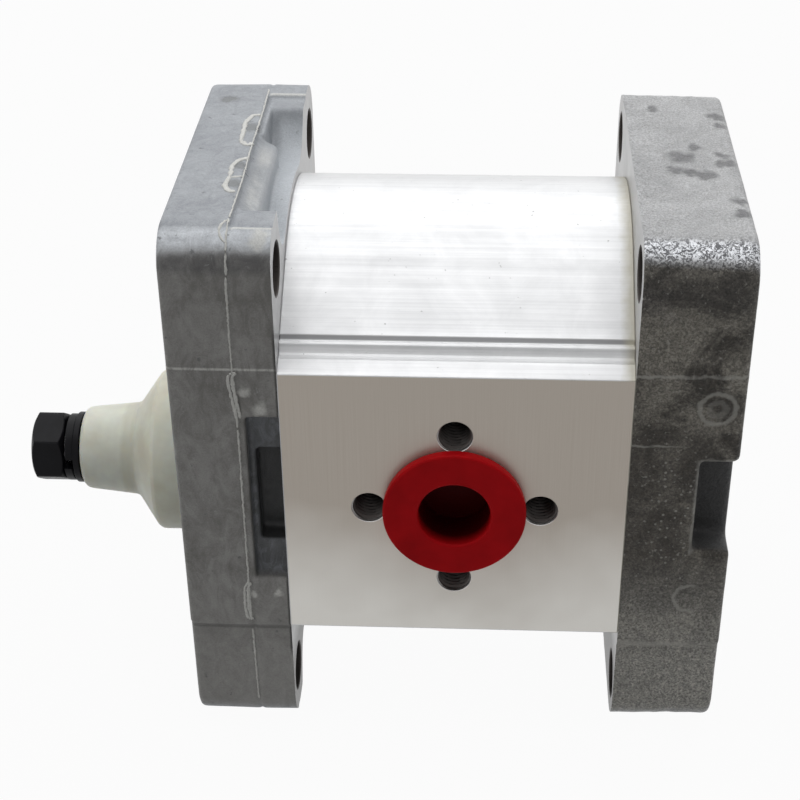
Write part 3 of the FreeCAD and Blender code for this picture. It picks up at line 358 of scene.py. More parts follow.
def smooth_max(a, b, blend):
    overlap = np.maximum(blend - np.abs(a - b), 0) / blend
    return np.maximum(a, b) + overlap * overlap * (blend / 4)


def smooth_min(a, b, blend):
    return -smooth_max(-a, -b, blend)


def smooth_step(share):
    share = np.clip(share, 0, 1)
    return share * share * (3 - 2 * share)


class Casting:
    """A solid held as signed distances on a grid, in millimetres; metal is below zero."""

    def __init__(self, low, high, voxel, seed):
        self.voxel = voxel
        self.low = np.asarray(low) - 3 * voxel
        counts = np.ceil((np.asarray(high) - self.low) / voxel).astype(int) + 3
        axes = [self.low[i] + voxel * np.arange(counts[i]) for i in range(3)]
        self.x = axes[0].reshape(-1, 1, 1).astype(np.float32)
        self.y = axes[1].reshape(1, -1, 1).astype(np.float32)
        self.z = axes[2].reshape(1, 1, -1).astype(np.float32)
        self.random = np.random.default_rng(seed)
        self.distance = None

    def cut(self, other, blend):
        self.distance = smooth_max(self.distance, -other, blend)

    def add(self, other, blend):
        self.distance = smooth_min(self.distance, other, blend)

    def across_hole(self, y, z, radius):
        """Distance to a round hole along X."""
        return np.hypot(self.y - y, self.z - z) - radius

    def ripple(self, shortest, longest, waves=14):
        """Smooth seeded unevenness between about -1 and 1."""
        total = 0
        for _ in range(waves):
            direction = self.random.normal(size=3)
            direction *= 2 * math.pi / self.random.uniform(shortest, longest) / np.linalg.norm(direction)
            phase = self.random.uniform(0, 2 * math.pi)
            along, across, up = direction
            total = total + np.sin(along * self.x + across * self.y + up * self.z + phase)
        return total / math.sqrt(waves / 2) / 2

    def to_mesh(self, name):
        grid = openvdb.FloatGrid(float(self.distance.max()))
        grid.copyFromArray(np.ascontiguousarray(self.distance.astype(np.float32)))
        points, faces = grid.convertToQuads(0.0)
        points = points * self.voxel + self.low
        corners = points[faces]
        towards = np.cross(corners[:, 2] - corners[:, 0], corners[:, 3] - corners[:, 1])
        if np.einsum("ij,ij->", corners[:, 0], towards) < 0:
            faces = faces[:, ::-1]
        mesh = mesh_from(name, points, faces)
        mesh.shade_smooth()
        return mesh


def casting_voxel():
    return sizes().voxel / MM * 1.0


def cover_outline(casting, top, step_height, inset_side, inset_up):
    """Distance to a cover's outline: round corners and stepped lower ears."""
    step = STEP_DEPTH * smooth_step((-step_height - casting.z) / STEP_SLOPE)
    witness = 0.2 * np.exp(-((casting.z - WITNESS_HEIGHT) / 0.45) ** 2)
    across = np.abs(casting.y) - (COVER_HALF_WIDTH - COVER_CORNER - inset_side - step + witness)
    up = np.abs(casting.z) - (top - COVER_CORNER - inset_up)
    outside = np.hypot(np.maximum(across, 0), np.maximum(up, 0))
    return outside + np.minimum(np.maximum(across, up), 0) - COVER_CORNER


def front_outline(casting):
    """Distance to the front cover's outline, with draft to both sides of the die's parting line."""
    x, y, z = casting.x, casting.y, casting.z
    inner = smooth_step((x - PARTING_LINE) / 0.5)
    draft = SKIN_INSET + np.abs(x - PARTING_LINE) * 0.01
    groove = 0.28 * np.exp(-((x - PARTING_LINE - 0.45) / 0.35) ** 2)
    rim = 0.85 * inner * smooth_step((37.5 - np.abs(y + 4)) / 0.9)
    side_rim = 0.25 * inner * smooth_step((WITNESS_HEIGHT - np.abs(z)) / 0.8)
    outline = cover_outline(casting, FRONT_TOP, FRONT_STEP, draft + groove + side_rim, draft + groove + rim)
    return outline + 0.05 * casting.ripple(9, 30, 8)


def cut_upper_pockets(casting, cast):
    """Pockets between the ears, each with a rounded ledge that slopes down from the rim."""
    x, y, height = casting.x, casting.y, np.abs(casting.z)
    near_wall = -y - 28.5 - 0.34 * (height - 58)
    far_wall = y - 27 + 0.7 * (FRONT_TOP - height)
    round_crown = POCKET_FLOOR - np.hypot(y, height - AXIS_HEIGHT)
    pocket = smooth_max(np.maximum(near_wall, far_wall), round_crown, 11.0)
    pocket = smooth_max(pocket, PLATE - x, 0.8)
    casting.cut(smooth_max(pocket, 40 - height, 1.0), cast * 0.6)
    slope = height - (FRONT_TOP - 1.6 - 0.5 * (x - 16))
    strip = smooth_max(y - 9.7, -y - 31, 4.0)
    ledge = smooth_max(smooth_max(slope, x - 20.5, 1.2), strip, 1.0)
    casting.add(smooth_max(ledge, np.maximum(50 - height, 16 - x), 1.0), 0.6)
    above = smooth_max(strip, -slope, 0.8)
    casting.cut(smooth_max(smooth_max(15.9 - x, x - 21, 0.8), above, 0.8), 0.6)


def cut_side_pockets(casting):
    """Stepped pockets beside the body, with a dished top and a sloping lower lip."""
    x, z = casting.x, casting.z
    side = COVER_HALF_WIDTH - np.abs(casting.y)
    shelf = smooth_max(z - 23.8, -z - 22.6 + 0.45 * side, 1.2)
    shelf = smooth_max(shelf, side - SIDE_SHELF, 1.2)
    casting.cut(smooth_max(shelf, PLATE - 0.3 - x, 1.0), 0.8)
    recess = smooth_max(np.abs(z) - 13, side - SIDE_RECESS, 1.6)
    casting.cut(smooth_max(recess, PLATE + 1.3 - x - 0.12 * (side - 4), 1.4), 0.9)
    dish = np.sqrt((x - 21.8) ** 2 + (side + 7.2) ** 2 + ((z - 30.5) * 0.9) ** 2) - 8.1
    casting.cut(dish, 1.2)


def front_cover_mesh():
    """Die-cast skin of the front cover: stepped outline, pockets, ledges and pilot."""
    low, high = FRONT_LOW, FRONT_HIGH + (OVERRUN, 0, 0)
    casting = Casting(low, high, casting_voxel(), FRONT_SEED)
    cast = sizes().cast_edge / MM
    casting.distance = smooth_max(front_outline(casting), -casting.x, cast)
    cut_upper_pockets(casting, cast)
    cut_side_pockets(casting)
    pilot = smooth_max(casting.across_hole(0, -AXIS_HEIGHT, PILOT_RADIUS), np.abs(casting.x) - 8, 0.8)
    casting.add(pilot, 0.5)
    casting.distance = np.maximum(casting.distance, casting.x - high[0])
    return casting.to_mesh("front_cover_casting")


# Round marks in the rear cover's front side: place along and up, radius, half width, depth.
RING_MARKS = (
    (123.6, 28.4, 4.0, 0.55, 0.55),
    (123.6, 28.4, 0.4, 1.1, 0.45),
    (121.6, -25.0, 3.7, 0.4, 0.35),
)


def rear_cover_mesh():
    """Sand-cast and tumbled skin of the rear cover, with its side recesses."""
    low, high = REAR_LOW - (OVERRUN, 0, 0), REAR_HIGH
    casting = Casting(low, high, casting_voxel(), REAR_SEED)
    x, y, z = casting.x, casting.y, casting.z
    cast = sizes().cast_edge / MM
    draft = 0.15 + 0.012 * (x - REAR_LOW[0])
    outline = cover_outline(casting, REAR_TOP, REAR_STEP, draft, draft)
    outline = outline + 0.07 * casting.ripple(8, 25, 8)
    outline = outline + sizes().roughness_depth / MM * casting.ripple(1.6, 4.5, 18)
    casting.distance = smooth_max(outline, x - PUMP_END + 0.05, cast * 1.2)

    # recess open to the side and to the rear
    side = COVER_HALF_WIDTH - np.abs(y)
    recess = smooth_max(np.abs(z - REAR_RECESS_HEIGHT) - 12.6, side - REAR_RECESS, 2.2)
    casting.cut(smooth_max(recess, PUMP_END - REAR_RECESS - x, 1.6), 1.6)

    for along, up, radius, width, depth in RING_MARKS:
        ring = np.abs(np.hypot(x - along, z - up) - radius) - width
        casting.cut(smooth_max(ring, np.abs(y + COVER_HALF_WIDTH) - depth, 0.4), 0.5)
    casting.distance = np.maximum(casting.distance, low[0] - x)
    return casting.to_mesh("rear_cover_casting")


def facing_cutter(face, side):
    """A block that takes everything past a cover's machined face."""
    reach = 80
    far = face + side * 2 * OVERRUN
    low, high = min(face, far), max(face, far)
    corners = [(x, y, z) for x in (low, high) for y in (-reach, reach) for z in (-reach, reach)]
    return corners, [(0, 1, 3, 2), (4, 6, 7, 5), (0, 4, 5, 1), (2, 3, 7, 6), (0, 2, 6, 4), (1, 5, 7, 3)]


def hole_part(radius, start, end, mouth, across, up, chamfer=0.3, segments=64):
    """A drill shape along X from start to end, with its mouth chamfered; it runs past the mouth."""
    outwards = 1 if mouth > (start + end) / 2 else -1
    other = start if outwards > 0 else end
    beyond = mouth + outwards * 1.5
    profile = [(other, 0), (other, radius), (mouth - outwards * chamfer, radius),
               (mouth + outwards * (1.5 - chamfer), radius + 1.5), (beyond, radius + 1.5), (beyond, 0)]
    return shifted(lathe(profile, segments), across=across, up=up)


def through_hole(radius, start, end, across, up, chamfer=0.3, segments=64):
    """A drill shape along X that chamfers both mouths."""
    profile = [(start - 1.5, 0), (start - 1.5, radius + 1.5), (start + chamfer, radius),
               (end - chamfer, radius), (end + 1.5, radius + 1.5), (end + 1.5, 0)]
    return shifted(lathe(profile, segments), across=across, up=up)


def seal_groove_part(face, into):
    """The oval ring that is milled out for the body seal; into is 1 towards +X."""
    ring = []
    angles = np.linspace(0, math.pi, 33)
    for radius in (SEAL_TRACK - SEAL_GROOVE_HALF, SEAL_TRACK + SEAL_GROOVE_HALF):
        upper = [(radius * math.cos(a), AXIS_HEIGHT + radius * math.sin(a)) for a in angles]
        ring.append(upper + [(-y, -z) for y, z in upper])
    points = []
    floor = SEAL_GROOVE_DEPTH
    for outline, place in ((ring[0], -1), (ring[1], -1), (ring[1], floor), (ring[0], floor)):
        points.extend((face + into * place, y, z) for y, z in outline)
    return points, looped_faces(4, len(ring[0]))


def front_cover_cutters():
    """What is machined into the front cover: (face material, shells) pairs."""
    face = FRONT_HIGH[0]
    seat = [(-9, 0), (-9, SEAL_SEAT + 1.4), (-7.6, SEAL_SEAT), (-1.2, SEAL_SEAT), (-1.2, RING_GROOVE),
            (-0.2, RING_GROOVE), (-0.2, SEAL_SEAT), (7, SEAL_SEAT), (7, SHAFT_PASSAGE),
            (face - 0.3, SHAFT_PASSAGE), (face + 1.2, SHAFT_PASSAGE + 1.5), (face + 1.2, 0)]
    holes = [through_hole(EAR_HOLE, 0, face, *place) for place in EAR_PLACES]
    holes += [hole_part(BOLT_THREAD, 11, face + 1, face, *place) for place in BOLT_PLACES]
    holes += [hole_part(DOWEL_RADIUS, face - DOWEL_DEPTH, face + 1, face, *place) for place in DOWEL_PLACES]
    holes.append(shifted(lathe(seat, 96), up=-AXIS_HEIGHT))
    return [(1, [facing_cutter(face, 1)]), (2, holes), (2, [seal_groove_part(face, -1)])]


def rear_cover_cutters():
    """What is machined into the rear cover: (face material, shells) pairs."""
    face = REAR_LOW[0]
    holes = [through_hole(EAR_HOLE, face, PUMP_END, *place) for place in EAR_PLACES]
    sunk = PUMP_END - SINK_DEPTH
    bolt = [(face - 1, 0), (face - 1, BOLT_PASSAGE + 1.3), (face + 0.3, BOLT_PASSAGE), (sunk, BOLT_PASSAGE),
            (sunk, BOLT_SINK), (PUMP_END - 0.4, BOLT_SINK), (PUMP_END + 1, BOLT_SINK + 1.4),
            (PUMP_END + 1, 0)]
    holes += [shifted(lathe(bolt, 64), 0, *place) for place in BOLT_PLACES]
    holes += [hole_part(DOWEL_RADIUS, face - 1, face + DOWEL_DEPTH, face, *place) for place in DOWEL_PLACES]
    return [(1, [facing_cutter(face, -1)]), (2, holes), (2, [seal_groove_part(face, 1)])]


def crease_machined_edges(mesh, degrees=30):
    """Marks edges sharp where a machined face starts and where machined faces meet at an angle."""
    work = bmesh.new()
    work.from_mesh(mesh)
    limit = math.radians(degrees)
    for edge in work.edges:
        if len(edge.link_faces) == 2:
            first, second = (face.material_index for face in edge.link_faces)
            if first != second or (first and edge.calc_face_angle(0) > limit):
                edge.smooth = False
    work.to_mesh(mesh)
    work.free()


# The extruded body


def body_quarter():
    """Outline of the extrusion from the port face to the crown, on the +Y, +Z side."""
    slope = math.tan(FLANK_ANGLE)
    crown = (CROWN_RADIUS * math.sin(FLANK_ANGLE), AXIS_HEIGHT + CROWN_RADIUS * math.cos(FLANK_ANGLE))
    groove_in = PORT_REACH - GROOVE_PLACE
    shoulder = crown[1] - (groove_in - crown[0]) * slope
    ridge = shoulder - RIDGE_DROP
    port_top = shoulder - PORT_TOP_DROP
    cove_top = (PORT_REACH - 6.4 + RIDGE_DROP / 2, ridge - RIDGE_DROP / 2)
    chamfer = (PORT_REACH - 3.5, port_top + 2.0)
    cove = []
    for share in np.linspace(0, 1, 7)[1:-1]:
        sag = COVE_DEPTH * 4 * share * (1 - share)
        along = (cove_top[0] - chamfer[0], cove_top[1] - chamfer[1])
        length = math.hypot(*along)
        cove.append((chamfer[0] + along[0] * share - along[1] / length * sag,
                     chamfer[1] + along[1] * share - sag * abs(along[0]) / length))
    return [
        (PORT_REACH, port_top), chamfer, *cove, cove_top, (groove_in + 2.0, ridge),
        (groove_in + 1.0, ridge - RIDGE_DROP / 2), (groove_in, shoulder), crown]


def body_outline():
    quarter = body_quarter()
    crown_angles = np.arange(FLANK_ANGLE - CROWN_STEP, CROWN_STEP / 5, -CROWN_STEP)
    arc = [(CROWN_RADIUS * math.sin(a), AXIS_HEIGHT + CROWN_RADIUS * math.cos(a)) for a in crown_angles]
    side = quarter + arc
    top = side + [(-a, b) for a, b in reversed(side)]
    whole = top + [(-a, -b) for a, b in top]
    return soften(whole, sizes().extruded_edge / MM)


def inset_outline(outline, amount):
    """Moves every corner of an outline inwards along its mean normal."""
    points = np.array(outline)
    along = np.roll(points, -1, axis=0) - np.roll(points, 1, axis=0)
    normal = np.stack([along[:, 1], -along[:, 0]], 1) / np.linalg.norm(along, axis=1)[:, None]
    return points - normal * amount


def cylinder_part(radius, start, end, segments=96):
    return lathe([(start, 0), (start, radius), (end, radius), (end, 0)], segments)


def port_frame(port, across=0.0, up=0.0):
    """Matrix that turns a part made along +X to run out of a port, from the port face inwards."""
    turn = Matrix.Rotation(math.radians(90 * -port["facing"]), 4, "Z")
    return Matrix.Translation((BODY_MIDDLE + across, port["facing"] * PORT_REACH, up)) @ turn


def stud_places(port):
    circle = port["circle"]
    return [(circle, 0), (0, circle), (-circle, 0), (0, -circle)]


def body_cutters():
    """Closed shells for the chambers, ports, tapped holes, bolt holes and dowel holes."""
    start, end = BODY_START, BODY_END
    chambers = [shifted(cylinder_part(CHAMBER_RADIUS, start - 1, end + 1, 128), up=side * AXIS_HEIGHT)
                for side in (-1, 1)]
    holes = []
    for port in (INLET, OUTLET):
        bore = lathe([(-1, 0), (-1, port["bore"] + 1.3), (0.3, port["bore"]), (BORE_END, port["bore"]),
                      (BORE_END, 0)], 96)
        holes.append(placed(bore, port_frame(port)))
        wall = port["major"] + 0.05
        for across, up in stud_places(port):
            stud = lathe([(-1, 0), (-1, wall + 1.1), (0.12, wall), (port["depth"], wall),
                          (port["depth"] + 1.8, 0)], 64)
            holes.append(placed(stud, port_frame(port, across, up)))
    for place in BOLT_PLACES:
        holes.append(shifted(cylinder_part(BOLT_PASSAGE, start - 1, end + 1, 48), 0, *place))
    for place in DOWEL_PLACES:
        for low, high in ((start - 1, start + DOWEL_DEPTH), (end - DOWEL_DEPTH, end + 1)):
            holes.append(shifted(cylinder_part(DOWEL_RADIUS, low, high, 48), 0, *place))
    return [chambers[:1], chambers[1:], holes]


def cut_with(piece, parts, slot, name):
    """Takes shells out of a piece; the faces they leave get the material in that slot."""
    mesh = join_parts(name, parts)
    face_outwards(mesh)
    for material in piece.data.materials:
        mesh.materials.append(material)
    mesh.polygons.foreach_set("material_index", [slot] * len(mesh.polygons))
    mesh.shade_smooth()
    cutter = bpy.data.objects.new(name, mesh)
    bpy.context.scene.collection.objects.link(cutter)
    modifier = piece.modifiers.new(name, "BOOLEAN")
    modifier.operation = "DIFFERENCE"
    modifier.solver = "MANIFOLD"
    modifier.object = cutter
    bpy.context.view_layer.update()
    graph = bpy.context.evaluated_depsgraph_get()
    result = bpy.data.meshes.new_from_object(piece.evaluated_get(graph))
    piece.modifiers.clear()
    unchanged = len(result.polygons) in (0, len(piece.data.polygons))
    if unchanged or len(result.materials) < len(mesh.materials):
        raise RuntimeError(f"{name} did not cut {piece.name}")
    piece.data = result
    bpy.data.objects.remove(cutter)


def mark_body_faces(mesh):
    """Slot 1 on the milled port faces and slot 2 on the sawn ends; the extruded skin keeps slot 0."""
    for face in mesh.polygons:
        middle = face.center / MM
        if abs(face.normal.y) > 0.999 and abs(middle.y) > PORT_REACH - 0.02:
            face.material_index = 1
        elif abs(face.normal.x) > 0.9:
            face.material_index = 2


def tapped_sleeve(port, across, up):
    """The threaded wall of one tapped hole, as a thin closed sleeve."""
    segments = 40
    rows = int((port["depth"] - 0.6) / port["pitch"] * 8)
    places = np.linspace(0.6, port["depth"], rows)
    angles = np.linspace(0, 2 * math.pi, segments, endpoint=False)
    wall = port["major"] + 0.04
    points = []
    for place in places:
        turns = place / port["pitch"] - angles / (2 * math.pi)
        radius = thread_radius(turns, port["minor"] - 0.05, port["major"])
        radius = np.minimum(radius + np.clip(1.6 - place, 0, 1) * 0.5, wall - 0.01)
        points.extend(zip(np.full(segments, place), radius * np.cos(angles), radius * np.sin(angles)))
    for place in places[::-1]:
        points.extend((place, wall * math.cos(a), wall * math.sin(a)) for a in angles)
    return placed((points, looped_faces(2 * rows, segments)), port_frame(port, across, up))


# Shaft end


def tooth_half_angle(radius):
    """Half the angle that a tooth takes at a radius."""
    pitch = MODULE * TEETH / 2
    base = pitch * math.cos(PRESSURE_ANGLE)
    half = (math.pi * MODULE / 2 - TOOTH_PLAY) / (2 * pitch)
    local = math.acos(min(base / max(radius, base), 1))
    return half + math.tan(PRESSURE_ANGLE) - PRESSURE_ANGLE - math.tan(local) + local


def gear_part(first_tooth):
    """The toothed part of a gear shaft with lightly broken ends."""
    outline = []
    radii = np.linspace(AXIS_HEIGHT - 1.6, TIP_RADIUS, 6)
    for tooth in range(TEETH):
        middle = first_tooth + tooth * 2 * math.pi / TEETH
        rising = [(radius, middle - tooth_half_angle(radius)) for radius in radii]
        root_half = tooth_half_angle(radii[0]) + 0.02
        outline.append((ROOT_RADIUS, middle - root_half))
        outline.extend(rising)
        outline.append((TIP_RADIUS, middle))
        outline.extend((radius, 2 * middle - angle) for radius, angle in reversed(rising))
        outline.append((ROOT_RADIUS, middle + root_half))
        outline.append((ROOT_RADIUS, middle + math.pi / TEETH))
    rings = ((GEAR_START, GEAR_EDGE), (GEAR_START + GEAR_EDGE, 0), (GEAR_END - GEAR_EDGE, 0),
             (GEAR_END, GEAR_EDGE))
    points = [(along, (radius - broken) * math.cos(angle), (radius - broken) * math.sin(angle))
              for along, broken in rings for radius, angle in outline]
    return points, capped_faces(len(rings), len(outline))


def threaded_end(start, end, segments=48):
    """The threaded end of the shaft, with a centre drilled in its face."""
    rows = int((end - start) / THREAD_PITCH * 8)
    angles = np.linspace(0, 2 * math.pi, segments, endpoint=False)
    points = [(start + CENTRE_DEPTH, 0.0, 0.0)]
    points.extend((start, CENTRE_RADIUS * math.cos(a), CENTRE_RADIUS * math.sin(a)) for a in angles)
    for place in np.linspace(start, end, rows):
        turns = (place - start) / THREAD_PITCH - angles / (2 * math.pi)
        radius = thread_radius(turns, THREAD_RADIUS, THREAD_RADIUS - 0.85)
        radius = np.minimum(radius, THREAD_RADIUS - 1.1 + (place - start))
        points.extend(zip(np.full(segments, place), radius * np.cos(angles), radius * np.sin(angles)))
    faces = [(0, 1 + column, 1 + (column + 1) % segments) for column in range(segments)]
    for face in grid_faces(rows + 1, segments):
        faces.append(tuple(index + 1 for index in face))
    faces.append(tuple(range(1 + rows * segments, 1 + (rows + 1) * segments)))
    return points, faces


def drive_shaft_part():
    """Taper, journals and end of the drive shaft."""
    start, end = TAPER_START, TAPER_START + TAPER_LENGTH
    small = TAPER_RADIUS - TAPER_LENGTH * TAPER_SLOPE
    far = BODY_END - 0.6
    profile = [
        (start - 1.2, 0), (start - 1.2, 4.9), (start, 4.9), (start, small - 0.4),
        (start + 0.4, small), (end, TAPER_RADIUS), (end + 0.8, JOURNAL_RADIUS),
        (far - 0.8, JOURNAL_RADIUS), (far, JOURNAL_RADIUS - 0.8), (far, 0)]
    return lathe(profile)


def protector_profile():
    """Half section of the moulded cap, from the cover round the outside and back inside."""
    tip = CAP_LOW[0]
    rim = CAP_HIGH[0]
    outer = [(rim, CAP_SKIRT - 0.4), (rim - 0.4, CAP_SKIRT), (-11.7, CAP_SKIRT), (-12.6, 20.5),
             (-13.3, 19.5), (-15.6, 16.2), (-17.6, 13.3), (-18.4, 12.45), (-19.4, 12.1),
             (tip + 1.9, 10.85), (tip + 0.9, 10.55), (tip + 0.25, 9.9), (tip, 9.1), (tip, 6.3)]
    inner = [(tip + 2.0, 6.3), (tip + 2.0, 8.7), (-19.0, 10.2), (-17.2, 10.6), (-10.4, 18.0),
             (-8.5, CAP_BORE), (rim, CAP_BORE)]
    return outer + inner


def hexagon_radius(angle, half_flats):
    """Distance from the axis to a hexagon with a corner at angle 0 and softened corners."""
    folded = (angle + math.pi / 6) % (math.pi / 3) - math.pi / 6
    flat = half_flats / math.cos(math.pi / 6 - abs(folded))
    corner_limit = half_flats / math.cos(math.pi / 6) * (0.985 + 0.3 * folded * folded)
    return min(flat, corner_limit)


def nut_part(thickness, half_flats, bore):
    """A hexagon nut chamfered at both ends, with a countersunk bore."""
    segments = 144
    angles = np.linspace(0, 2 * math.pi, segments, endpoint=False)
    flat_radius = half_flats * 0.95
    rings = []
    reach = np.array([hexagon_radius(a - NUT_TURN, half_flats) for a in angles])
    fall = np.maximum(reach - flat_radius, 0) * math.tan(math.radians(30))
    rings.append((np.full(segments, 0.9), np.full(segments, bore)))
    rings.append((np.zeros(segments), np.full(segments, bore + 0.9)))
    rings.append((np.zeros(segments), np.full(segments, flat_radius - 0.25)))
    rings.append((np.full(segments, 0.06), np.full(segments, flat_radius)))
    rings.append((fall, reach - 0.12))
    rings.append((fall + 0.2, reach))
    rings += [(thickness - along, radius) for along, radius in reversed(rings)]
    points = []
    for along, radius in rings:
        points.extend(zip(along, radius * np.cos(angles), radius * np.sin(angles)))
    return points, looped_faces(len(rings), segments)


def split_washer_part(low, high, inner, outer):
    """A spring washer whose cut ends stand apart along the axis."""
    rise = 0.55
    thickness = high - low - rise
    gap = math.radians(9)
    angles = np.linspace(math.pi + gap, 3 * math.pi - gap, 97)
    section = soften([(0, inner), (thickness, inner), (thickness, outer), (0, outer)], 0.25, 3)
    points = []
    for step, angle in enumerate(angles):
        lift = low + rise * step / (len(angles) - 1)
        points.extend((lift + a, r * math.cos(angle), r * math.sin(angle)) for a, r in section)
    return points, capped_faces(len(angles), len(section))


def plug_profile(bore, flange):
    """Half section of a transport plug along its axis, with the flange at negative places."""
    stem = bore - PLUG_PLAY
    hollow = stem - PLUG_WALL
    back = PLUG_DEPTH
    return [
        (back - 1.5, 0), (back - 1.5, hollow - 0.5), (back - 2.0, hollow - 0.1), (-1.9, hollow),
        (-2.35, hollow + 0.25), (-2.58, hollow + 0.75), (-2.6, (hollow + flange) / 2), (-2.6, flange - 0.7),
        (-2.48, flange - 0.25), (-2.2, flange - 0.03), (-2.0, flange), (-0.3, flange), (0, flange - 0.3),
        (0, stem + 0.1), (0.3, stem), (back - 0.9, stem), (back - 0.3, stem - 0.3), (back, stem - 1.0),
        (back, 0)]


# Flash left by the die


def bead_part(route, width, random, lean=0.7):
    """A ragged raised bead along a route of points."""
    route = np.array(route, float)
    lengths = np.r_[0, np.cumsum(np.linalg.norm(np.diff(route, axis=0), axis=1))]
    count = max(int(lengths[-1] / 0.45), 4)
    places = np.linspace(0, lengths[-1], count)
    path = np.stack([np.interp(places, lengths, route[:, i]) for i in range(3)], 1)
    kernel = np.array([1, 2, 3, 2, 1]) / 9
    for axis in range(3):
        padded = np.pad(path[:, axis], 2, mode="edge")
        path[:, axis] = np.convolve(padded, kernel, "valid")
    uneven = np.pad(random.uniform(0.45, 1.35, count), 1, mode="edge")
    radii = width * np.convolve(uneven, [0.25, 0.5, 0.25], "valid")
    radii[0] *= 0.35
    radii[-1] *= 0.35
    path += random.normal(0, 0.05, path.shape)
    points = []
    sides = 7
    for index, centre in enumerate(path):
        ahead = path[min(index + 1, count - 1)] - path[max(index - 1, 0)]
        ahead /= np.linalg.norm(ahead)
        guide = np.array([0, 0, 1.0]) if abs(ahead[2]) < 0.8 else np.array([0, 1.0, 0])
        side = np.cross(ahead, guide)
        side /= np.linalg.norm(side)
        up = np.cross(side, ahead)
        for corner in range(sides):
            angle = 2 * math.pi * corner / sides
            outwards = side * math.cos(angle) + up * math.sin(angle) * lean
            points.append(tuple(centre + radii[index] * outwards))
    return points, capped_faces(count, sides)


def round_corner(along, reach, degrees):
    """Points round the near upper corner of a cover."""
    across = -COVER_HALF_WIDTH + COVER_CORNER
    up = FRONT_TOP - COVER_CORNER
    angles = np.radians(degrees)
    return [(along, across - reach * math.sin(angle), up + reach * math.cos(angle)) for angle in angles]


def flash_routes():
    """Where flash stands on the front cover: (route, half width) pairs in millimetres."""
    top = FRONT_TOP - 0.26
    front = -COVER_HALF_WIDTH + 0.24
    lower = front + STEP_DEPTH
    line = PARTING_LINE - 0.05
    far_loop = [(15.6, 19.6), (13.4, 19.5), (12.1, 14.8), (12.4, 9.1), (12.4, 3.5), (14.4, 0.8),
                (15.7, 2.5)]
    near_loop = [(15.9, -6.1), (13.7, -7.3), (12.2, -10.9), (12.6, -15.6), (12.0, -21.7), (13.2, -24.6),
                 (15.2, -25.0)]
    strand = [(12.6, -17.4), (14.1, -16.9), (15.8, -16.3)]
    edge = round_corner(line, COVER_CORNER - 0.22, range(0, 91, 10))
    loop = round_corner(line, COVER_CORNER - 0.28, (2, 12, 24, 36, 46))
    loop = [(x - 1.8 * math.sin(math.pi * step / 4), y, z) for step, (x, y, z) in enumerate(loop)]
    upper_pad = [(15.2, 36.2), (13.9, 34.6), (14.3, 31), (15.1, 26), (15.3, 23.6)]
    lower_pad = [(15.2, -22.8), (14.2, -25), (14.1, -30), (14.4, -33.6), (15.3, -34.6)]
    return [
        ([(x, y, top) for x, y in far_loop], 0.72),
        ([(x, y, top) for x, y in near_loop], 0.72),
        ([(x, y, top) for x, y in strand], 0.55),
        ([(line, 37, top), (line + 0.2, 20, top), (line, 0, top), (line + 0.3, -20, top),
          (line, -38, top)], 0.24),
        (edge, 0.28),
        (loop, 0.34),
        ([(line - 0.2, front, 60), (line - 0.3, front, 42), (line + 0.1, front, 21)], 0.27),
        ([(line + 0.1, front, 21), (line, front, -16), (line, front, -35)], 0.27),
        ([(line, lower, -38), (line + 0.3, lower, -61)], 0.27),
        ([(x, front, z) for x, z in upper_pad], 0.45),
        ([(x, front, z) for x, z in lower_pad], 0.42),
        ([(x + 0.9, front, z) for x, z in upper_pad], 0.4),
        ([(x + 0.8, front, z) for x, z in lower_pad], 0.38),
    ]


# Materials


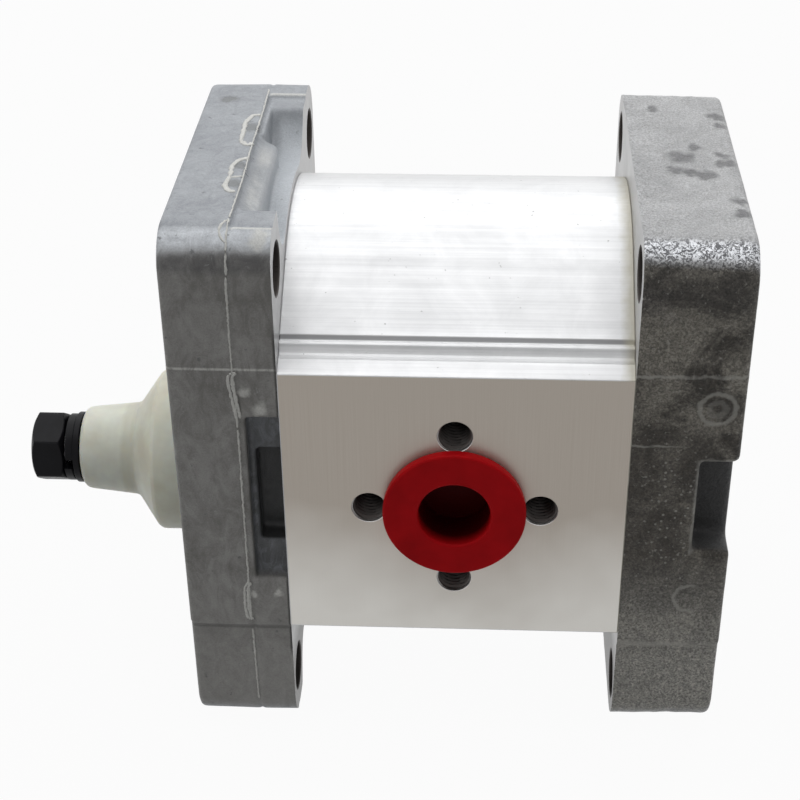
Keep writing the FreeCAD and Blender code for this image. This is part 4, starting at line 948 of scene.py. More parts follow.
class Finish:
    """A procedural material under construction; places are in millimetres of the pump."""

    def __init__(self, name, **sockets):
        self.material = bpy.data.materials.new(name)
        self.material.use_nodes = True
        self.tree = self.material.node_tree
        self.shader = self.tree.nodes["Principled BSDF"]
        for socket, value in sockets.items():
            self.shader.inputs[socket.replace("_", " ")].default_value = value
        self.place = self.node("ShaderNodeTexCoord").outputs["Object"]
        self.normal = None

    def node(self, kind, **settings):
        made = self.tree.nodes.new(kind)
        for name, value in settings.items():
            setattr(made, name, value)
        return made

    def link(self, source, target):
        self.tree.links.new(source, target)

    def space(self, x=1.0, y=1.0, z=1.0):
        """Object coordinates in millimetres, stretched along each axis."""
        mapping = self.node("ShaderNodeMapping")
        mapping.inputs["Scale"].default_value = (x / MM, y / MM, z / MM)
        self.link(self.place, mapping.inputs["Vector"])
        return mapping.outputs["Vector"]

    def noise(self, space, scale, detail=4.0, roughness=0.55, distortion=0.0):
        texture = self.node("ShaderNodeTexNoise")
        self.link(space, texture.inputs["Vector"])
        texture.inputs["Scale"].default_value = scale
        texture.inputs["Detail"].default_value = detail
        texture.inputs["Roughness"].default_value = roughness
        texture.inputs["Distortion"].default_value = distortion
        return texture.outputs["Fac"]

    def cells(self, space, scale, feature="F1"):
        texture = self.node("ShaderNodeTexVoronoi", feature=feature)
        self.link(space, texture.inputs["Vector"])
        texture.inputs["Scale"].default_value = scale
        return texture.outputs["Distance"]

    def warped(self, space, scale, amount):
        """Space pushed about by a coarse noise, so that spots and bands come out ragged."""
        texture = self.node("ShaderNodeTexNoise")
        self.link(space, texture.inputs["Vector"])
        texture.inputs["Scale"].default_value = scale
        texture.inputs["Detail"].default_value = 5.0
        push = self.node("ShaderNodeVectorMath", operation="MULTIPLY_ADD")
        self.link(texture.outputs["Color"], push.inputs[0])
        push.inputs[1].default_value = (amount, amount, amount)
        self.link(space, push.inputs[2])
        centred = self.node("ShaderNodeVectorMath", operation="SUBTRACT")
        self.link(push.outputs["Vector"], centred.inputs[0])
        centred.inputs[1].default_value = (amount / 2, amount / 2, amount / 2)
        return centred.outputs["Vector"]

    def along(self, axis, space=None):
        """One coordinate in millimetres."""
        split = self.node("ShaderNodeSeparateXYZ")
        self.link(space or self.space(), split.inputs["Vector"])
        return split.outputs[axis]

    def away_from(self, space, place):
        """Distance in millimetres from a place."""
        made = self.node("ShaderNodeVectorMath", operation="DISTANCE")
        self.link(space, made.inputs[0])
        made.inputs[1].default_value = place
        return made.outputs["Value"]

    def spots(self, space, places):
        """1 in the middle of spots, fading to 0 at their reach; each is (place, reach)."""
        return self.any_of(*[self.ranged(self.away_from(space, place), reach, reach * 0.5)
                             for place, reach in places])

    def band(self, value, middle, half, fade):
        """1 within half of a middle value, fading to 0."""
        away = self.maths("ABSOLUTE", self.maths("SUBTRACT", value, middle), 0)
        return self.ranged(away, half + fade, half)

    def times(self, first, second):
        return self.maths("MULTIPLY", first, second)

    def all_of(self, *shares):
        total = shares[0]
        for share in shares[1:]:
            total = self.maths("MULTIPLY", total, share)
        return total

    def any_of(self, *shares):
        total = shares[0]
        for share in shares[1:]:
            total = self.maths("MAXIMUM", total, share)
        return total

    def ranged(self, value, low, high, first=0.0, last=1.0):
        """Maps a value from low..high to first..last."""
        mapping = self.node("ShaderNodeMapRange")
        mapping.inputs["From Min"].default_value = low
        mapping.inputs["From Max"].default_value = high
        mapping.inputs["To Min"].default_value = first
        mapping.inputs["To Max"].default_value = last
        self.link(value, mapping.inputs["Value"])
        return mapping.outputs["Result"]

    def maths(self, operation, first, second):
        made = self.node("ShaderNodeMath", operation=operation)
        for index, value in enumerate((first, second)):
            if isinstance(value, (int, float)):
                made.inputs[index].default_value = value
            else:
                self.link(value, made.inputs[index])
        return made.outputs[0]

    def mixed(self, share, first, second):
        """Colour between first and second; each is a colour or a socket."""
        made = self.node("ShaderNodeMix", data_type="RGBA")
        self.link(share, made.inputs["Factor"])
        for index, value in ((6, first), (7, second)):
            if isinstance(value, tuple):
                made.inputs[index].default_value = (*value, 1.0)
            else:
                self.link(value, made.inputs[index])
        return made.outputs[2]

    def stained(self, colour, share, strength, stain):
        """A colour under a stain, which lies where a share says, at a strength."""
        return self.mixed(self.times(share, strength), colour, stain)

    def shaded(self, colour, strength):
        """A colour made darker or lighter by a strength round 1."""
        scaled = self.node("ShaderNodeVectorMath", operation="SCALE")
        self.link(colour, scaled.inputs[0])
        self.link(strength, scaled.inputs["Scale"])
        return scaled.outputs["Vector"]

    def relief(self, height, depth):
        """Adds surface relief of a depth in millimetres."""
        bump = self.node("ShaderNodeBump")
        bump.inputs["Distance"].default_value = depth * MM
        self.link(height, bump.inputs["Height"])
        if self.normal:
            self.link(self.normal, bump.inputs["Normal"])
        self.normal = bump.outputs["Normal"]

    def finish(self, colour=None, roughness=None, metallic=None):
        for value, socket in ((colour, "Base Color"), (roughness, "Roughness"), (metallic, "Metallic"),
                              (self.normal, "Normal")):
            if value:
                self.link(value, self.shader.inputs[socket])
        return self.material


class CoverFinish(Finish):
    """A cover's material, with places on it and a cloudy tone ready to use."""

    def __init__(self, name, distortion, **sockets):
        super().__init__(name, **sockets)
        self.plain = self.space()
        self.x, self.y, self.z = (self.along(axis, self.plain) for axis in "XYZ")
        self.inset = self.maths("SUBTRACT", COVER_HALF_WIDTH, self.maths("ABSOLUTE", self.y, 0))
        self.outside = self.ranged(self.inset, 2.2, 1.4)
        self.clouds = self.noise(self.plain, 0.07, 6, 0.65, distortion)


# Dark smudges inside the flash loops and bright wear on the near inner corner: (place, reach).
SMUDGES = (((14.0, 12.0, FRONT_TOP), 3.2), ((14.2, -10.5, FRONT_TOP), 2.2), ((13.8, -20.5, FRONT_TOP), 2.6),
           ((6.0, 30.0, FRONT_TOP), 3.0))
WORN_PLACES = (((22.4, -43.4, FRONT_TOP - 1.0), 2.6), ((22.2, -45.0, FRONT_TOP - 2.4), 2.5),
               ((17.4, -COVER_HALF_WIDTH, 30.5), 2.0), ((20.5, -COVER_HALF_WIDTH, 26.0), 2.2),
               ((22.6, -COVER_HALF_WIDTH, -26.0), 1.6), ((16.6, -COVER_HALF_WIDTH, -27.0), 1.4))


def die_cast_skin(finish, flow):
    """Colour of the clean skin: the top, the darker sides that are partly painted shade, a painted highlight along
    the upper edge with painted shade below it, and a painted reflection in the pockets.
    """
    inset, z = finish.inset, finish.z
    tone = finish.maths("ADD", finish.times(finish.clouds, 0.5), finish.times(flow, 0.5))
    colour = finish.mixed(finish.ranged(tone, 0.40, 0.60), (0.28, 0.295, 0.32), (0.38, 0.40, 0.425))
    # The sides' darker, browner colour is partly their own tone and partly painted shade on faces turned from the
    # light
    sides = finish.mixed(finish.ranged(tone, 0.40, 0.60), (0.20, 0.195, 0.185), (0.34, 0.335, 0.325))
    colour = finish.mixed(finish.ranged(inset, 3.5, 1.5), colour, sides)
    high = finish.ranged(z, FRONT_TOP - 10, FRONT_TOP - 8)
    # Painted highlight: a light band where the rounded upper edge would reflect the lamp
    painted_highlight = finish.all_of(finish.band(inset, 4.0, 1.1, 1.8), high, finish.ranged(flow, 0.3, 0.6, 0.5, 0.9))
    colour = finish.mixed(painted_highlight, colour, (0.74, 0.77, 0.81))
    # Painted shade: a dark border just below the painted highlight, where the corner turns from the light
    shade = finish.all_of(finish.band(inset, 0.7, 0.6, 0.7), high,
                          finish.ranged(flow, 0.3, 0.6, 0.75, 0.45))
    colour = finish.mixed(shade, colour, (0.085, 0.085, 0.09))
    # Painted reflection: the pockets' far walls made light and bluish, as if they mirrored the sky
    pocket = finish.all_of(finish.ranged(finish.x, PLATE + 1, PLATE + 3), finish.ranged(inset, 10, 14),
                           finish.ranged(z, FRONT_TOP - 1.5, FRONT_TOP - 5))
    return finish.stained(colour, pocket, 0.6, (0.60, 0.635, 0.67))


def die_cast_stains(finish, colour):
    """Lighter low on the sides, dark dots, light scratches and the smudges."""
    # Lighter towards the bottom of the sides
    lighter_below = finish.all_of(finish.ranged(finish.inset, 3, 2), finish.ranged(finish.z, -20, -55))
    colour = finish.stained(colour, lighter_below, 0.45, (0.44, 0.435, 0.42))
    dots = finish.ranged(finish.noise(finish.plain, 0.42, 3, 0.5), 0.32, 0.26)
    colour = finish.stained(colour, dots, 0.6, (0.11, 0.115, 0.12))
    scratches = finish.ranged(finish.noise(finish.plain, 0.55, 8, 0.8, 2.5), 0.60, 0.70)
    colour = finish.stained(colour, scratches, 0.7, (0.50, 0.51, 0.52))
    smudges = finish.spots(finish.warped(finish.plain, 0.6, 3.0), SMUDGES)
    return finish.stained(colour, smudges, 0.6, (0.12, 0.125, 0.12))


def die_cast_wear_and_highlights(finish, flow):
    """Light marks where metal shines through on the bosses' edges and worn corners, and painted highlights along
    the die's witness line and on the ledge.
    """
    x, y, z = finish.x, finish.y, finish.z
    # Painted highlight along the witness line, whose step faces up to the light
    witness = finish.all_of(finish.band(z, WITNESS_HEIGHT + 0.3, 0.12, 0.3),
                            finish.ranged(flow, 0.36, 0.5), finish.outside)
    boss_sides = finish.any_of(finish.band(y, -41.7, 0.2, 0.35), finish.band(y, 33.7, 0.2, 0.5))
    boss = finish.all_of(boss_sides, finish.ranged(x, 15.8, 16.2), finish.ranged(z, 66, 68))
    # Painted highlight on the ledge's rounded top
    ledge = finish.all_of(finish.band(x, 18.6, 0.8, 1.4), finish.band(y, -12, 14, 6),
                          finish.ranged(z, 64, 65), finish.ranged(finish.clouds, 0.40, 0.56, 0.15, 0.6))
    worn = finish.spots(finish.warped(finish.plain, 0.5, 2.6), WORN_PLACES)
    return finish.any_of(witness, boss, worn, ledge)


def die_cast_shade_and_seam(finish, flow):
    """Painted shade on the step, in the side pockets and on the shelf, and the dark seam with the body."""
    x, z, inset = finish.x, finish.z, finish.inset
    # Painted shade on the downward step, deep in the side pockets and in the shelf's corner; the seam is a dark
    # joint
    step = finish.times(finish.band(z, -FRONT_STEP - 1.6, 0.5, 0.5), finish.outside)
    deep_shade = finish.all_of(finish.ranged(inset, 2, 5.5), finish.band(z, 0, 13.0, 1.5),
                         finish.ranged(x, 17.5, 18.5))
    shelf = finish.all_of(finish.ranged(inset, 0.6, 2), finish.band(z, 0, 22, 2),
                          finish.ranged(x, 16.4, 17), finish.ranged(flow, 0.36, 0.56, 0.3, 0.8))
    seam = finish.all_of(finish.ranged(x, FRONT_HIGH[0] - 0.7, FRONT_HIGH[0] - 0.3),
                         finish.band(z, 0, 44, 3))
    return finish.any_of(finish.times(step, 0.55), deep_shade, shelf, seam)


def die_cast_finish():
    """Smooth cast skin, blue-grey on top and brown-grey on its sides, with flow marks, stains, painted highlights
    and painted shade.
    """
    finish = CoverFinish("die_cast_aluminium", 0.8, Metallic=0.05, Specular_IOR_Level=0.3)
    flow = finish.noise(finish.space(1, 1, 0.5), 0.24, 6, 0.65, 1.6)
    grain = finish.noise(finish.plain, 2.6, 5, 0.7)
    colour = die_cast_stains(finish, die_cast_skin(finish, flow))
    # Light wear, and painted highlights on the witness line and the ledge
    colour = finish.stained(colour, die_cast_wear_and_highlights(finish, flow), 0.75, (0.70, 0.70, 0.67))
    # Painted shade on the step, in the side pockets and on the shelf, with the dark seam
    colour = finish.stained(colour, die_cast_shade_and_seam(finish, flow), 0.85, (0.035, 0.034, 0.032))
    colour = finish.shaded(colour, finish.ranged(grain, 0.35, 0.65, 0.88, 1.12))
    finish.relief(grain, 0.035)
    finish.relief(flow, 0.14)
    rough = finish.ranged(finish.noise(finish.plain, 0.5, 4), 0.3, 0.7, 0.42, 0.58)
    return finish.finish(colour, rough)


def faced_finish():
    """Faced aluminium with fine turning lines."""
    finish = Finish("faced_aluminium", Metallic=0.3, Specular_IOR_Level=0.25)
    lines = finish.noise(finish.space(1, 9, 0.25), 1.0, 3, 0.6)
    tone = finish.noise(finish.space(), 0.12, 4)
    colour = finish.mixed(finish.ranged(tone, 0.3, 0.7), (0.46, 0.46, 0.46), (0.58, 0.58, 0.58))
    # Darker towards the bottom
    darker_below = finish.ranged(finish.along("Z"), -42, -50)
    colour = finish.stained(colour, darker_below, 0.85, (0.06, 0.058, 0.055))
    finish.relief(lines, 0.012)
    return finish.finish(colour, finish.ranged(lines, 0.3, 0.7, 0.28, 0.42))


# Oil stains on the rear cover's top: place along, place across, reach.
STAINS = ((116.3, 2, 4.6), (120, 7.5, 2.5), (121.2, -8.4, 3.7), (118, -7.2, 2.6), (115.2, -5.8, 2.5),
          (126.4, -1.5, 3.0), (126.6, 3, 2.6), (127.6, 21, 2.6), (127.4, 27, 2.8), (127.9, -22, 2.8),
          (127.9, -28, 2.8), (112, 31, 2.3))
# A lighter run on the rear cover's front side: (place, reach).
TEAR_DROP = (((106.0, -COVER_HALF_WIDTH, 57.0), 3.0), ((108.5, -COVER_HALF_WIDTH, 54.5), 3.2),
             ((111.5, -COVER_HALF_WIDTH, 51.5), 2.2))


def sand_cast_top(finish, grain, leather, pepper):
    """Colour of the light top, with dark pores and oil stains."""
    dark = (0.20, 0.195, 0.19)
    colour = finish.mixed(finish.ranged(finish.clouds, 0.38, 0.62), (0.44, 0.445, 0.455),
                          (0.58, 0.585, 0.595))
    colour = finish.mixed(finish.ranged(grain, 0.50, 0.36, 0.0, 0.6), colour, dark)
    colour = finish.mixed(finish.ranged(leather, 0.42, 0.34, 0.0, 0.4), colour, dark)
    places = [((along, across, REAR_TOP), reach) for along, across, reach in STAINS]
    stains = finish.spots(finish.warped(finish.plain, 0.35, 5.0), places)
    stains = finish.all_of(stains, finish.ranged(pepper, 0.35, 0.6, 0.45, 0.85))
    colour = finish.mixed(stains, colour, (0.085, 0.085, 0.09))
    return finish.shaded(colour, finish.ranged(pepper, 0.38, 0.62, 0.84, 1.18))


def sand_cast_sides(finish, leather, pepper):
    """Colour of the brown sides, partly painted shade: darker in the middle, painted shade under the top, lighter
    towards the bottom.
    """
    x, z, clouds = finish.x, finish.z, finish.clouds
    brown = finish.mixed(finish.ranged(clouds, 0.42, 0.58), (0.045, 0.04, 0.033), (0.24, 0.225, 0.195))
    middle = finish.all_of(finish.band(z, 0, 18, 14),
                           finish.ranged(x, REAR_LOW[0] + 18, REAR_LOW[0] + 4, 0.5, 1.0))
    brown = finish.stained(brown, middle, 0.7, (0.05, 0.043, 0.035))
    # Lighter towards the bottom
    brown = finish.stained(brown, finish.ranged(z, -12, -46), 0.85, (0.42, 0.41, 0.38))
    tear = finish.spots(finish.warped(finish.plain, 0.3, 3.0), TEAR_DROP)
    brown = finish.stained(brown, tear, 0.6, (0.32, 0.30, 0.27))
    # Painted shade: a dark band just under the rounded top, below the painted highlight band
    shadow = finish.all_of(finish.ranged(z, REAR_TOP - 20, REAR_TOP - 11),
                           finish.ranged(clouds, 0.35, 0.6, 0.9, 0.5))
    brown = finish.mixed(shadow, brown, (0.05, 0.046, 0.042))
    brown = finish.shaded(brown, finish.ranged(leather, 0.38, 0.62, 0.65, 1.4))
    return finish.shaded(brown, finish.ranged(pepper, 0.38, 0.62, 0.7, 1.35))


def sand_cast_specks(finish, pits):
    """Light specks: the pits' rims, worn marks and edges with a painted highlight on the witness line, and dots
    below the round mark.
    """
    bent = finish.warped(finish.plain, 0.5, 1.6)
    dots = finish.all_of(finish.ranged(finish.cells(finish.plain, 0.62), 0.22, 0.16),
                         finish.band(finish.x, 115.5, 4.0, 3.0), finish.band(finish.z, -4, 18, 4),
                         finish.ranged(finish.inset, 1, 0.6))
    return finish.any_of(finish.ranged(pits, 0.60, 0.68), rear_ring_marks(finish, bent),
                         rear_edge_lines(finish, bent), dots)


def rear_ring_marks(finish, bent):
    """Worn rims of the round marks on the rear cover's front side."""
    outward = finish.ranged(finish.y, -COVER_HALF_WIDTH + 1.5, -COVER_HALF_WIDTH + 1)
    ring_away = finish.away_from(bent, (RING_MARKS[0][0], -COVER_HALF_WIDTH, RING_MARKS[0][1]))
    ring = finish.band(ring_away, 4.1, 0.25, 0.5)
    button = finish.band(ring_away, 1.8, 0.4, 0.5)
    crescent_away = finish.away_from(bent, (RING_MARKS[2][0], -COVER_HALF_WIDTH, RING_MARKS[2][1]))
    crescent = finish.all_of(finish.band(crescent_away, 3.9, 0.2, 0.4), finish.ranged(finish.x, 124, 121))
    return finish.times(finish.any_of(ring, finish.times(button, 0.4), crescent), outward)


def rear_edge_lines(finish, bent):
    """Light lines: worn round the recess, along the die's witness marks and on the step; the line at the witness
    height is a painted highlight.
    """
    x, z = finish.along("X", bent), finish.along("Z", bent)
    broken = finish.times(finish.ranged(finish.clouds, 0.36, 0.5, 0.4, 1.0), finish.outside)
    recess = finish.all_of(finish.band(x, PUMP_END - 9.3, 0.25, 0.5), finish.band(z, 1.3, 12.5, 1.2))
    above = finish.all_of(finish.band(z, 14.4, 0.2, 0.6), finish.ranged(x, PUMP_END - 10, PUMP_END - 9))
    # Painted highlight on the witness step, which faces up to the light
    witness = finish.band(z, WITNESS_HEIGHT + 0.4, 0.15, 0.4)
    second = finish.all_of(finish.band(z, 18.5, 0.1, 0.3), finish.ranged(x, 118, 112))
    step = finish.times(finish.band(z, -REAR_STEP - 0.9, 0.9, 0.5), 0.9)
    return finish.times(finish.any_of(recess, above, witness, second, step), broken)


def sand_cast_finish():
    """Tumbled sand casting: leathery skin, oil stains on top, dark brown sides that are partly painted shade with
    bright specks, a painted highlight band of flecks on the upper edge and painted shade in the recess.
    """
    finish = CoverFinish("sand_cast_aluminium", 1.1, Metallic=0.05, Specular_IOR_Level=0.25)
    pits = finish.noise(finish.plain, 0.95, 8, 0.68, 0.4)
    leather = finish.noise(finish.plain, 1.05, 3, 0.6, 1.6)
    grain = finish.noise(finish.plain, 3.4, 4, 0.7)
    pepper = finish.noise(finish.plain, 1.9, 3, 0.6)
    top = sand_cast_top(finish, grain, leather, pepper)
    sides = sand_cast_sides(finish, leather, pepper)
    # The sides' dark brown is partly their own tone and partly painted shade on faces turned from the light
    colour = finish.mixed(finish.ranged(finish.inset, 3.4, 1.8), top, sides)
    # Painted highlight: a band of light flecks where the rounded upper edge would reflect the lamp
    glitter_highlight = finish.all_of(finish.band(finish.inset, 4.7, 1.2, 2.0),
                            finish.ranged(finish.z, REAR_TOP - 9, REAR_TOP - 7))
    bright = finish.ranged(leather, 0.46, 0.54)
    highlight_flecks = finish.mixed(bright, (0.11, 0.115, 0.13), (0.84, 0.86, 0.90))
    colour = finish.stained(colour, glitter_highlight, 0.75, highlight_flecks)
    colour = finish.stained(colour, sand_cast_specks(finish, pits), 0.55, (0.55, 0.54, 0.50))
    # Painted shade deep in the side recess
    recess = finish.all_of(finish.ranged(finish.inset, 0.8, 2.5), finish.band(finish.z, 1.3, 13, 1))
    colour = finish.stained(colour, recess, 0.9, (0.02, 0.02, 0.02))
    finish.relief(leather, 0.35)
    finish.relief(pits, 0.38)
    finish.relief(grain, 0.06)
    rough = finish.ranged(pits, 0.35, 0.7, 0.5, 0.28)
    return finish.finish(colour, rough, finish.ranged(finish.all_of(glitter_highlight, bright), 0, 1, 0.05, 0.5))


def extruded_finish():
    """Bright extruded skin with drawn lines along the body, dull bands, scuffs, stained ends, and painted shade on
    the crown's back and in the groove.
    """
    finish = Finish("extruded_aluminium", Metallic=0.35)
    space = finish.space()
    lines = finish.noise(finish.space(0.015, 1.6, 1.6), 1.0, 6, 0.7)
    bands = finish.noise(finish.space(0.006, 0.2, 0.2), 1.0, 4, 0.6)
    clouds = finish.noise(space, 0.10, 6, 0.65, 0.6)
    tone = finish.maths("ADD", finish.times(bands, 0.35), finish.times(lines, 0.35))
    tone = finish.maths("ADD", tone, finish.times(clouds, 0.3))
    colour = finish.mixed(finish.ranged(tone, 0.40, 0.58), (0.66, 0.665, 0.675), (0.79, 0.795, 0.805))
    # Painted shade on the back of the crown, which faces away
    crown_back_shade = finish.ranged(finish.along("Y", space), 2, 14)
    colour = finish.stained(colour, crown_back_shade, 0.4, (0.56, 0.56, 0.56))
    specks = finish.ranged(finish.noise(space, 0.8, 2, 0.5), 0.27, 0.23)
    colour = finish.stained(colour, specks, 0.7, (0.30, 0.30, 0.30))
    scuffs = finish.ranged(finish.noise(finish.space(0.12, 1.0, 1.0), 1.0, 8, 0.85, 0.8), 0.64, 0.72)
    colour = finish.stained(colour, scuffs, 0.6, (0.36, 0.36, 0.36))
    from_middle = finish.maths("ABSOLUTE", finish.along("Y", space), 0)
    # Painted shade in the shoulder groove
    groove = finish.band(from_middle, PORT_REACH - GROOVE_PLACE + 0.45, 0.25, 0.25)
    colour = finish.stained(colour, groove, 0.8, (0.17, 0.17, 0.175))
    ends = finish.ranged(finish.along("X", finish.warped(space, 0.4, 2.0)), BODY_END - 3.4, BODY_END - 0.8)
    colour = finish.stained(colour, ends, 0.7, (0.42, 0.39, 0.29))
    finish.relief(lines, 0.02)
    finish.relief(clouds, 0.03)
    return finish.finish(colour, finish.ranged(tone, 0.4, 0.6, 0.5, 0.38))


def milled_finish():
    """Milled port face: fine upright tool lines, and a painted reflection that is warm and darker towards the top
    and light towards the bottom.
    """
    finish = Finish("milled_aluminium", Metallic=0.4)
    lines = finish.noise(finish.space(5.0, 1, 0.03), 1.0, 4, 0.65)
    sheen = finish.noise(finish.space(), 0.03, 3, 0.5)
    # Painted reflection: dark and warm at the top, light towards the bottom, with a ragged edge between
    height = finish.maths("ADD", finish.along("Z"), finish.ranged(sheen, 0.3, 0.7, -8.0, 8.0))
    colour = finish.mixed(finish.ranged(height, -34, 0), (0.90, 0.88, 0.83), (0.49, 0.435, 0.375))
    colour = finish.mixed(finish.ranged(lines, 0.3, 0.75, 0.0, 0.2), colour, (0.78, 0.75, 0.70))
    finish.relief(lines, 0.01)
    return finish.finish(colour, finish.ranged(lines, 0.3, 0.7, 0.36, 0.5))


def drilled_finish():
    """Bored and tapped aluminium with cutting rings, duller and with painted shade down the tapped holes."""
    finish = Finish("bored_aluminium")
    rings = finish.noise(finish.space(0.4, 6.0, 0.4), 1.0, 3)
    colour = finish.mixed(finish.ranged(rings, 0.3, 0.7), (0.40, 0.39, 0.38), (0.56, 0.55, 0.54))
    # Painted shade deep in the tapped holes, which are also made duller
    depth = finish.maths("ABSOLUTE", finish.along("Y"), 0)
    deep_shade = finish.all_of(finish.ranged(depth, PORT_REACH - 0.5, PORT_REACH - 1.2),
                         finish.ranged(depth, PORT_REACH - 22, PORT_REACH - 20))
    colour = finish.mixed(deep_shade, colour, (0.09, 0.08, 0.075))
    finish.relief(rings, 0.015)
    metal = finish.ranged(deep_shade, 0, 1, 0.8, 0.15)
    finish.link(finish.ranged(deep_shade, 0, 1, 0.5, 0.1), finish.shader.inputs["Specular IOR Level"])
    return finish.finish(colour, finish.ranged(rings, 0.3, 0.7, 0.25, 0.4), metal)


def moulded_finish(name, tint, share, rough, gloss=0.5, hollow=0.0):
    """Moulded plastic with a fine skin: painted shade inside a hollow of that radius, or else a ring of painted
    shade round the nose.
    """
    finish = Finish(name, Subsurface_Weight=share, Specular_IOR_Level=gloss)
    finish.shader.inputs["Subsurface Radius"].default_value = (0.008, 0.006, 0.004)
    finish.shader.inputs["Subsurface Scale"].default_value = 1.0
    space = finish.space()
    waves = finish.noise(space, 0.10, 3)
    skin = finish.noise(space, 3.0, 4, 0.6)
    dark = tuple(channel * 0.82 for channel in tint)
    light = tuple(min(channel * 1.1, 1.0) for channel in tint)
    colour = finish.mixed(finish.ranged(waves, 0.3, 0.7), dark, light)
    specks = finish.ranged(finish.noise(space, 0.9, 2, 0.5), 0.78, 0.82)
    colour = finish.mixed(specks, colour, tuple(channel * 0.4 for channel in tint))
    if hollow:
        # Painted shade inside the hollow
        across = finish.away_from(finish.space(1, 0, 1), (BODY_MIDDLE, 0, 0))
        inside = finish.ranged(across, hollow + 0.3, hollow)
        from_middle = finish.maths("ABSOLUTE", finish.along("Y"), 0)
        depth = finish.ranged(from_middle, PORT_REACH + 2.6, PORT_REACH - 1)
        shadow = tuple(channel * 0.12 for channel in tint)
        colour = finish.mixed(finish.times(inside, depth), colour, shadow)
    else:
        # Painted shade in a ring round the nose's root
        rim = finish.band(finish.along("X", finish.warped(space, 0.3, 1.5)), -20.0, 1.2, 1.2)
        colour = finish.stained(colour, rim, 0.45, tuple(channel * 0.6 for channel in tint))
    finish.relief(skin, 0.012)
    finish.relief(waves, 0.12)
    return finish.finish(colour, finish.ranged(skin, 0.3, 0.7, rough - 0.06, rough + 0.08))


def flash_finish():
    finish = Finish("casting_flash", Metallic=0.05)
    grain = finish.noise(finish.space(), 1.6, 5, 0.7)
    colour = finish.mixed(finish.ranged(grain, 0.3, 0.7), (0.50, 0.50, 0.475), (0.72, 0.72, 0.69))
    finish.relief(grain, 0.08)
    return finish.finish(colour, finish.ranged(grain, 0.3, 0.7, 0.4, 0.6))


def metal_finish(name, dark, light, metallic, rough, gloss=0.5, grain_scale=2.0, depth=0.02):
    """Ground, plated or blackened metal with a fine grain."""
    finish = Finish(name, Metallic=metallic, Specular_IOR_Level=gloss)
    space = finish.space()
    grain = finish.noise(space, grain_scale, 5, 0.65)
    clouds = finish.noise(space, 0.18, 4, 0.6)
    colour = finish.mixed(finish.ranged(clouds, 0.32, 0.68), dark, light)
    finish.relief(grain, depth)
    return finish.finish(colour, finish.ranged(grain, 0.3, 0.7, rough - 0.07, rough + 0.08))


def rubber_finish():
    finish = Finish("seal_rubber")
    grain = finish.noise(finish.space(), 2.2, 4)
    colour = finish.mixed(finish.ranged(grain, 0.3, 0.7), (0.012, 0.012, 0.012), (0.03, 0.03, 0.03))
    finish.relief(grain, 0.02)
    return finish.finish(colour, finish.ranged(grain, 0.3, 0.7, 0.5, 0.7))


FINISHES = {}


def finishes():
    """All the pump's materials by name, made once."""
    if not FINISHES:
        chosen = colours()
        FINISHES.update({
            "die_cast": die_cast_finish(),
            "faced": faced_finish(),
            "sand_cast": sand_cast_finish(),
            "extruded": extruded_finish(),
            "milled": milled_finish(),
            "bored": drilled_finish(),
            "flash": flash_finish(),
            "red_plastic": moulded_finish("red_plastic", tuple(chosen.plug), 0.04, 0.45, 0.06,
                                          INLET["bore"] - PLUG_PLAY - PLUG_WALL),
            "natural_plastic": moulded_finish("natural_plastic", tuple(chosen.protector), 0.6, 0.45),
            "backup_plastic": moulded_finish("backup_plastic", (0.75, 0.74, 0.68), 0.2, 0.5),
            "black_steel": metal_finish("black_steel", (0.004, 0.004, 0.005), (0.009, 0.009, 0.011),
                                        0.0, 0.36, 0.1),
            "gear_steel": metal_finish("gear_steel", (0.42, 0.42, 0.43), (0.56, 0.56, 0.57), 0.95, 0.27),
            "screw_steel": metal_finish("screw_steel", (0.40, 0.40, 0.39), (0.55, 0.55, 0.53), 0.9, 0.34),
            "bearing": metal_finish("bearing_aluminium", (0.55, 0.55, 0.56), (0.68, 0.68, 0.69),
                                    0.85, 0.38),
            "bronze": metal_finish("bush_bronze", (0.42, 0.27, 0.12), (0.58, 0.40, 0.20), 0.9, 0.36),
            "rubber": rubber_finish(),
        })
    return FINISHES


# Stage

# The camera is fitted to the corners of the port face, the covers and the ear holes.
CAMERA_PLACE = (0.07188, -0.37494, 0.2314)
CAMERA_ANGLES = (32.969, -2.916, -0.488)
CAMERA_LENS = 77.19
CAMERA_SHIFT = (-0.015, 0.05)

# Strength of the world's light on the object, and how much of the floor's own white the camera sees
WORLD_FILL = 0.12
FLOOR_WHITE = 0.955

# Each lamp: name, place, side and power
LAMPS = (("top_softbox", (0.03, 0.35, 1.05), 2.0, 19.5), ("front_fill", (-0.75, -0.6, 0.3), 0.6, 0.5))
LAMPS_AIM = Vector((0.05, 0, 0))


